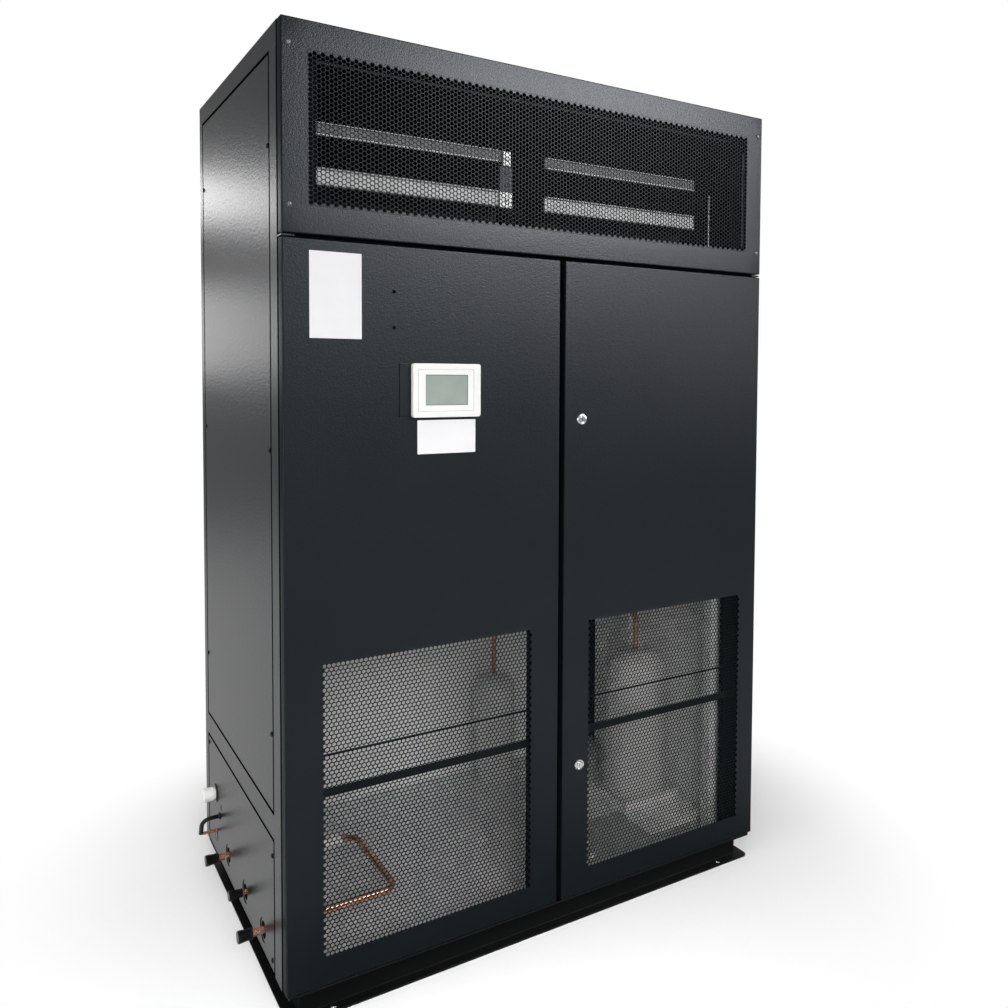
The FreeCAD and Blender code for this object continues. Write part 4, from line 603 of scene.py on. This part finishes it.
def is_front(face):
    return face.normal.y < -0.999


def cut_front(bm, x0, z0, x1, z1):
    for point, way in (((x0, 0, 0), rightward), ((x1, 0, 0), rightward),
                       ((0, 0, z0), upward), ((0, 0, z1), upward)):
        bm.normal_update()
        parts = [part for face in bm.faces if is_front(face) for part in (face, *face.edges, *face.verts)]
        bmesh.ops.bisect_plane(bm, geom=list(dict.fromkeys(parts)), plane_co=point, plane_no=way)
    bm.normal_update()


def folded_pan(low, high, window, bend=0.0025):
    pan = bmesh.new()
    add_block(pan, low, high)
    pan.normal_update()
    bmesh.ops.delete(pan, geom=[face for face in pan.faces if face.normal.y > 0.9], context="FACES_ONLY")
    rim = [e for e in pan.edges if not all(abs(v.co.y - high[1]) < 1e-6 for v in e.verts)]
    round_off(pan, rim, bend, 3)
    x0, z0, x1, z1 = window
    cut_front(pan, *window)
    inside = []
    for face in pan.faces:
        middle = face.calc_center_median()
        if is_front(face) and x0 < middle.x < x1 and z0 < middle.z < z1:
            inside.append(face)
    bmesh.ops.delete(pan, geom=inside, context="FACES")
    # The side returns take the pan's second finish, the dulled coat: painted shade beside the doors' edges.
    for face in pan.faces:
        face.material_index = int(abs(face.normal.x) > 0.9)
    return pan


def punched_field(width, height, pitch=0.0092, hole=0.0075):
    row = pitch * math.sqrt(3) / 2
    across = int((width - hole) / pitch - 0.5) + 3
    down = int((height - hole) / row) + 3
    field = bmesh.new()
    bmesh.ops.create_circle(field, cap_ends=True, segments=6, radius=pitch / math.sqrt(3),
                            matrix=Matrix.Rotation(math.pi / 2, 4, "X"))
    for copies, step in ((across, Vector((pitch, 0, 0))), (down, Vector((0, 0, row)))):
        first = field.verts[:] + field.edges[:] + field.faces[:]
        for count in range(1, copies):
            shift = Vector((pitch / 2 * (count % 2), 0, 0)) if step.z else Vector()
            copy = bmesh.ops.duplicate(field, geom=first)["geom"]
            bmesh.ops.translate(field, vec=step * count + shift,
                                verts=[part for part in copy if isinstance(part, bmesh.types.BMVert)])
    middle = Vector((((across - 1) * pitch + pitch / 2) / 2, 0, (down - 1) * row / 2))
    bmesh.ops.translate(field, vec=-middle, verts=field.verts)
    bmesh.ops.remove_doubles(field, verts=field.verts, dist=pitch / 50)
    reach_x = (width - hole) / 2 + 1e-5
    reach_z = (height - hole) / 2 + 1e-5
    holes = []
    for face in field.faces:
        middle = face.calc_center_median()
        if abs(middle.x) <= reach_x and abs(middle.z) <= reach_z:
            holes.append(face)
    for face in holes:
        face.material_index = 1
    bmesh.ops.inset_individual(field, faces=holes, thickness=(pitch - hole) / 2, use_even_offset=True)
    bmesh.ops.delete(field, geom=holes, context="FACES")
    for way, reach in ((rightward, width / 2), (leftward, width / 2), (upward, height / 2), (downward, height / 2)):
        bmesh.ops.bisect_plane(field, geom=field.verts[:] + field.edges[:] + field.faces[:],
                               plane_co=Vector(way) * reach, plane_no=way, clear_outer=True)
    return field


# The punched fields have the same coat, but thin and dull, because the holes' edges draw the powder away.
punched_coat, tree, shader, place = copied(coat, "charcoal powder coat on punched sheet")
shader.inputs["Specular IOR Level"].default_value = 0.06
tree.nodes.remove(find(tree, "Bevel"))

# Blackened steel: a dark oxide film, worn in spots about 3 mm across, that stays brighter than the paint round it.
black_oxide, tree, shader, place = new_finish("blackened steel", {"Metallic": 0.7})
wear = noise(tree, place, 3, 4.0)
tint = ramp(tree, wear, "#2c2e30", "#66696c")
gloss = span(tree, wear, 0.3, 0.5)
wire(tree, shader, {"Base Color": tint, "Roughness": gloss})

front_face = -0.4
pan_back = -0.375
screws = bmesh.new()
wide_head = [(radius * 1.2, rise) for radius, rise in button_head]
for x in (-0.587, 0.587):
    for z in (1.602, 1.902):
        turned(screws, wide_head, (x, front_face, z), frontward, 16)
new_piece("outlet_screws", screws, black_oxide, "cabinet")
panel_gauge = 0.0015
outlet_half, outlet_low, outlet_high = 0.551, 1.603, 1.896
panel = folded_pan((-side_face, front_face, 1.549), (side_face, pan_back, 1.95),
                   (-outlet_half, outlet_low, outlet_half, outlet_high))
piece = new_piece("outlet_pan", panel, coat, "cabinet", panel_gauge)
piece.data.materials.append(shade_dulled_coat)
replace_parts(piece, "outlet_panel")
field = punched_field(outlet_high - outlet_low, 2 * outlet_half)
bmesh.ops.rotate(field, verts=field.verts, cent=(0, 0, 0), matrix=Matrix.Rotation(math.pi / 2, 3, "Y"))
bmesh.ops.translate(field, verts=field.verts, vec=(0, front_face, (outlet_low + outlet_high) / 2))
piece = new_piece("outlet_honeycomb", field, coat, "cabinet", panel_gauge, False)
piece.data.materials.append(punched_coat)

# DOORS
# Each door is a folded pan of the same sheet, with a punched window low down for the return air, a flat
# stiffening bar across its back, pivot blocks in its outer corners and a rubber seal round its edge.
door_low, door_top = 0.066, 1.541
window_low, window_high, window_wide = 0.121, 0.717, 0.463
bar_inset, block_half, block_high, block_play = 0.029, 0.0105, 0.03, 0.0005
for name, left, right, window, pivot in (("left_door", -side_face, 0.0025, -0.5285, -0.588),
                                         ("right_door", 0.0155, side_face, 0.0835, 0.588)):
    body = name + "_leaf"
    window_end = window + window_wide
    pan = folded_pan((left, front_face, door_low), (right, pan_back, door_top),
                     (window, window_low, window_end, window_high))
    piece = new_piece(name + "_pan", pan, coat, body, panel_gauge)
    piece.data.materials.append(shade_dulled_coat)
    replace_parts(piece, name)
    field = punched_field(window_wide, window_high - window_low)
    middle = ((window + window_end) / 2, front_face, (window_low + window_high) / 2)
    bmesh.ops.translate(field, verts=field.verts, vec=middle)
    piece = new_piece(name + "_honeycomb", field, coat, body, panel_gauge, False)
    piece.data.materials.append(punched_coat)
    fittings = bmesh.new()
    add_block(fittings, (left + bar_inset, pan_back, 0.436), (right - bar_inset, -0.371, 0.453), 0.001)
    for foot in (door_low + block_play, door_top - block_play - block_high):
        add_block(fittings, (pivot - block_half, -0.3985, foot), (pivot + block_half, -0.376, foot + block_high), 0.001)
    new_piece(name + "_bar", fittings, coat, body)

# RAILS BEHIND THE FRONT
# Thin folded strips that stiffen the front: one behind the windows, welded to the backs of the posts'
# flanges, and an upright one on the right post, behind the outlet panel. A dark cable duct runs under the top.
rail = bmesh.new()
for left, right in ((-0.5265, -0.045), (0.022, 0.5265)):
    add_block(rail, (left, -0.3628, 0.514), (right, -0.36, 0.5185), 0.0006)
new_piece("window_rail", rail, coat, "cabinet")
rail = bmesh.new()
for left, right in ((-0.5265, -0.0005), (0.0005, 0.5265)):
    add_block(rail, (left, -0.363, 1.8845), (right, -0.3605, 1.8895), 0.0006)
new_piece("outlet_duct", rail, dark_moulding, "cabinet")
rail = bmesh.new()
strip_y = -0.3672
add_block(rail, (0.565, strip_y, 1.622), (0.5672, -0.365, 1.86), 0.0006)
for z in (1.65, 1.83):
    turned(rail, stud(0.003, 0.0012, 0.0022, 0.002), (0.5661, strip_y, z), frontward, 12)
new_piece("upright_strip", rail, dull_zinc, "cabinet")

# CONTROLLER
# A white moulded housing clipped on a dark adapter plate, with a fine groove round its face and a recessed
# grey display. The groove and the display's recess walls are drawn in dark plastic as painted shade.


def runs_back(edge):
    return abs(edge.verts[0].co.y - edge.verts[1].co.y) > 1e-4


def cut_rectangle(bm, x0, z0, x1, z1):
    cut_front(bm, x0, z0, x1, z1)
    middle = Vector(((x0 + x1) / 2, 0, (z0 + z1) / 2))
    return min((face for face in bm.faces if is_front(face)),
               key=lambda face: (face.calc_center_median() * Vector((1, 0, 1)) - middle).length)


case_front = -0.413
housing = bmesh.new()
add_block(housing, (-0.348, case_front, 1.195), (-0.198, -0.402, 1.306))
round_off(housing, [edge for edge in housing.edges if runs_back(edge)], 0.0055, 5)
front = [edge for edge in housing.edges if all(vert.co.y < case_front + 1e-4 for vert in edge.verts)]
round_off(housing, front, 0.0016, 3)
face = cut_rectangle(housing, -0.337, 1.2075, -0.214, 1.294)
groove_shade = []
for depth in (-0.0012, 0.0012):
    groove_shade += bmesh.ops.inset_individual(housing, faces=[face], thickness=0.0003, depth=depth)["faces"]
# The groove's walls take the dark plastic: painted shade.
for ring in groove_shade:
    ring.material_index = 1
face = cut_rectangle(housing, -0.321, 1.22, -0.228, 1.283)
bmesh.ops.inset_individual(housing, faces=[face], thickness=0.0018, depth=-0.0016)
# The display recess's walls take the dark plastic: painted shade.
recess_shade = [f for e in face.edges for f in e.link_faces if f is not face]
for ring in recess_shade:
    ring.material_index = 1
bmesh.ops.delete(housing, geom=[face], context="FACES")
add_block(housing, (-0.335, front_face, 1.208), (-0.211, -0.372, 1.293))
case = new_piece("controller_case", housing, white_abs, "left_door_leaf")
case.data.materials.append(dark_moulding)
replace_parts(case, "controller_housing")
dress(coat, "controller_plate")

# Display glass: an unlit grey-green panel under a satin sheet, faintly uneven over about 25 mm.
display, tree, shader, place = new_finish("unlit display", {
    "Roughness": 0.22, "Coat Weight": 0.3, "Coat Roughness": 0.1})
haze = noise(tree, place, 25, 2.0)
tint = ramp(tree, haze, "#8a938c", "#98a29b")
wire(tree, shader, {"Base Color": tint})
dress(display, "controller_screen")

# PLATES ON THE LEFT DOOR
# A bare white plate stuck on below the controller, a bare paper sheet taped on at the upper corner, and two
# small holes, drawn as flat black foam discs: painted shade inside the holes.

# Coated paper: white, matt, very slightly cockled over about 60 mm.
paper, tree, shader, place = new_finish("coated paper", {"Roughness": 0.6, "Specular IOR Level": 0.3})
cockle = noise(tree, place, 60, 2.0)
tint = ramp(tree, cockle, "#d8d7d9", "#dfdee0")
skin = relief(tree, cockle, 0.25, 0.002)
wire(tree, shader, {"Base Color": tint, "Normal": skin})
plates = bmesh.new()
add_block(plates, (-0.334, -0.4006, 1.119), (-0.205, front_face, 1.189))
add_block(plates, (-0.55, -0.4003, 1.352), (-0.449, front_face, 1.519))
round_off(plates, [edge for edge in plates.edges if runs_back(edge)], 0.001, 3)
new_piece("door_plates", plates, paper, "left_door_leaf")
# Black discs flush with the door: painted shade inside two small holes.
hole_shades = bmesh.new()
for z in (1.449, 1.377):
    turned(hole_shades, [(0.0038, 0.0), (0.0036, 0.0003), (0.003, 0.0003), (0.0026, 0.0001), (0.0, 0.0001)],
           (-0.383, front_face, z), frontward, 16)
new_piece("door_hole_shades", hole_shades, foam, "left_door_leaf")

# LOCKS
# Two key locks through the right door: a turned and chromed collar, a plug with a keyway, and a cam behind.
# The keyways turn with their plugs.

# Chrome: polished plate with faint wiping marks about 4 mm across.
chrome, tree, shader, place = new_finish("polished chrome", {"Metallic": 1.0})
mark = noise(tree, place, 4, 3.0)
tint = ramp(tree, mark, "#c9cbcc", "#e4e5e6")
gloss = span(tree, mark, 0.1, 0.22)
wire(tree, shader, {"Base Color": tint, "Roughness": gloss})
dress(chrome, "lock_barrels", "lock_plug_upper", "lock_plug_lower")
for name, body, z in (("upper", "upper_lock", 1.183), ("lower", "lower_lock", 0.376)):
    ring = bmesh.new()
    turned(ring, [(0.0063, 0.0), (0.0125, 0.0), (0.0125, 0.0014), (0.0114, 0.003), (0.0092, 0.0034), (0.0074, 0.0026),
                  (0.0063, 0.0)], (0.0605, front_face, z), frontward, 32)
    new_piece(name + "_lock_collar", ring, chrome, "right_door_leaf")
    slot = bmesh.new()
    for right, half in ((0.0613, 0.0035), (0.0627, 0.001)):
        add_block(slot, (0.0597, -0.4034, z - half), (right, -0.4026, z + half), 0.0002)
    new_piece(name + "_keyway", slot, dark_moulding, body)

# STUDIO
# A pale floor that fades to white away from the cabinet, a white room, soft lamps beside the camera, at the left
# and overhead, and strip lamps that only show as a sheen on the paint. The paint mirrors the floor dark in front
# of the cabinet and far away, as if it stood on a dark mat in a dim hall.
ground = bmesh.new()
bmesh.ops.create_grid(ground, x_segments=2, y_segments=2, size=40)
mesh = bpy.data.meshes.new("studio_floor")
ground.to_mesh(mesh)
ground.free()
floor = bpy.data.objects.new("studio_floor", mesh)
bpy.context.scene.collection.objects.link(floor)
pale, tree, shader, place = new_finish("pale studio floor", {"Base Color": linear("#fbfbfb"), "Roughness": 0.9,
                                                            "Specular IOR Level": 0.0})
reach = add(tree, "VectorMath", {"operation": "LENGTH"}, {0: place})
fade = add(tree, "MapRange", {"interpolation_type": "SMOOTHSTEP", "From Min": 0.72, "From Max": 1.25},
           {"Value": reach.outputs["Value"]})
path = add(tree, "LightPath")
far = add(tree, "MapRange", {"interpolation_type": "SMOOTHSTEP", "From Min": 3.0, "From Max": 8.0, "To Min": 1.0,
                            "To Max": 0.28}, {"Value": reach.outputs["Value"]})
spot = add(tree, "SeparateXYZ", {}, {"Vector": place})
left = maths(tree, "LESS_THAN", spot.outputs["X"], -0.62)
open_floor = maths(tree, "MAXIMUM", fade.outputs["Result"], left)
mirrored = maths(tree, "MULTIPLY", open_floor, far.outputs["Result"])
mirrored = maths(tree, "MULTIPLY_ADD", mirrored, 0.86, 0.08)
level = maths(tree, "MAXIMUM", path.outputs["Is Camera Ray"], mirrored)
share = maths(tree, "MULTIPLY", path.outputs["Is Camera Ray"], fade.outputs["Result"])
share = maths(tree, "MAXIMUM", path.outputs["Is Glossy Ray"], share)
white = add(tree, "Emission", {"Color": (1, 1, 1, 1)}, {"Strength": level})
blend = add(tree, "MixShader", {}, {0: share, 1: shader.outputs[0], 2: white.outputs[0]})
tree.links.new(blend.outputs[0], tree.nodes["Material Output"].inputs["Surface"])
mesh.materials.append(pale)

world = bpy.data.worlds.new("white room")
world.use_nodes = True
bpy.context.scene.world = world
tree = world.node_tree
path = add(tree, "LightPath")
level = span(tree, path.outputs["Is Camera Ray"], 0.3, 1.0)
tree.nodes["Background"].inputs["Color"].default_value = (1, 1, 1, 1)
tree.links.new(level, tree.nodes["Background"].inputs["Strength"])


def softbox(name, spot, aim, size, power, lights, shines, spread=180):
    lamp = bpy.data.lights.new(name, "AREA")
    lamp.shape = "RECTANGLE"
    lamp.size, lamp.size_y = size
    lamp.energy = power
    lamp.spread = math.radians(spread)
    lamp_object = bpy.data.objects.new(name, lamp)
    lamp_object.location = spot
    lamp_object.rotation_euler = (Vector(aim) - Vector(spot)).to_track_quat("-Z", "Y").to_euler()
    lamp_object.visible_camera = False
    lamp_object.visible_diffuse = lights
    lamp_object.visible_glossy = shines
    bpy.context.scene.collection.objects.link(lamp_object)


softbox("front_softbox", (-1.0, -2.6, 1.7), (0.0, 0.0, 0.7), (1.4, 1.4), 30, lights=True, shines=False)
softbox("low_softbox", (-0.7, -2.9, 1.5), (0.0, -0.1, 0.1), (1.2, 0.6), 5, lights=True, shines=False, spread=50)
softbox("side_softbox", (-2.4, -0.3, 1.2), (-0.6, 0.0, 0.3), (1.2, 1.2), 25, lights=True, shines=True)
softbox("top_softbox", (0.0, -1.0, 4.2), (0.0, -0.6, 0.0), (4.0, 4.0), 70, lights=True, shines=False)
for name, spot, aim, size, power in (
        ("front_strip", (1.6, -3.2, 2.75), (0.0, -0.4, 1.6), (1.9, 1.1), 195),
        ("left_strip", (0.05, -3.2, 1.75), (-0.55, -0.4, 1.4), (0.4, 1.0), 6),
        ("right_strip", (2.95, -3.2, 1.7), (0.5, -0.4, 1.4), (1.2, 0.9), 17),
        ("upper_side_strip", (-1.18, 2.8, 2.13), (-0.6, 0.0, 1.65), (1.4, 0.22), 5.6),
        ("lower_side_strip", (-1.17, 2.8, 1.47), (-0.6, 0.0, 1.34), (1.4, 0.45), 4.1)):
    softbox(name, spot, aim, size, power, lights=False, shines=True)

# The camera's place, turn and lens were solved from the cabinet's straight edges.
camera = bpy.data.cameras.new("photograph")
camera.sensor_width = 36.0
camera.lens = 33.40
camera.shift_x = -0.1336
camera.shift_y = -0.0903
viewer = bpy.data.objects.new("photograph", camera)
viewer.matrix_world = Matrix((
    (0.82034, 0.01722, -0.57162, -1.05851),
    (-0.57178, 0.04312, -0.81927, -2.23193),
    (0.01054, 0.99892, 0.04522, 1.29577),
    (0, 0, 0, 1)))
bpy.context.scene.collection.objects.link(viewer)
bpy.context.scene.camera = viewer
bpy.context.scene.view_settings.view_transform = "Standard"
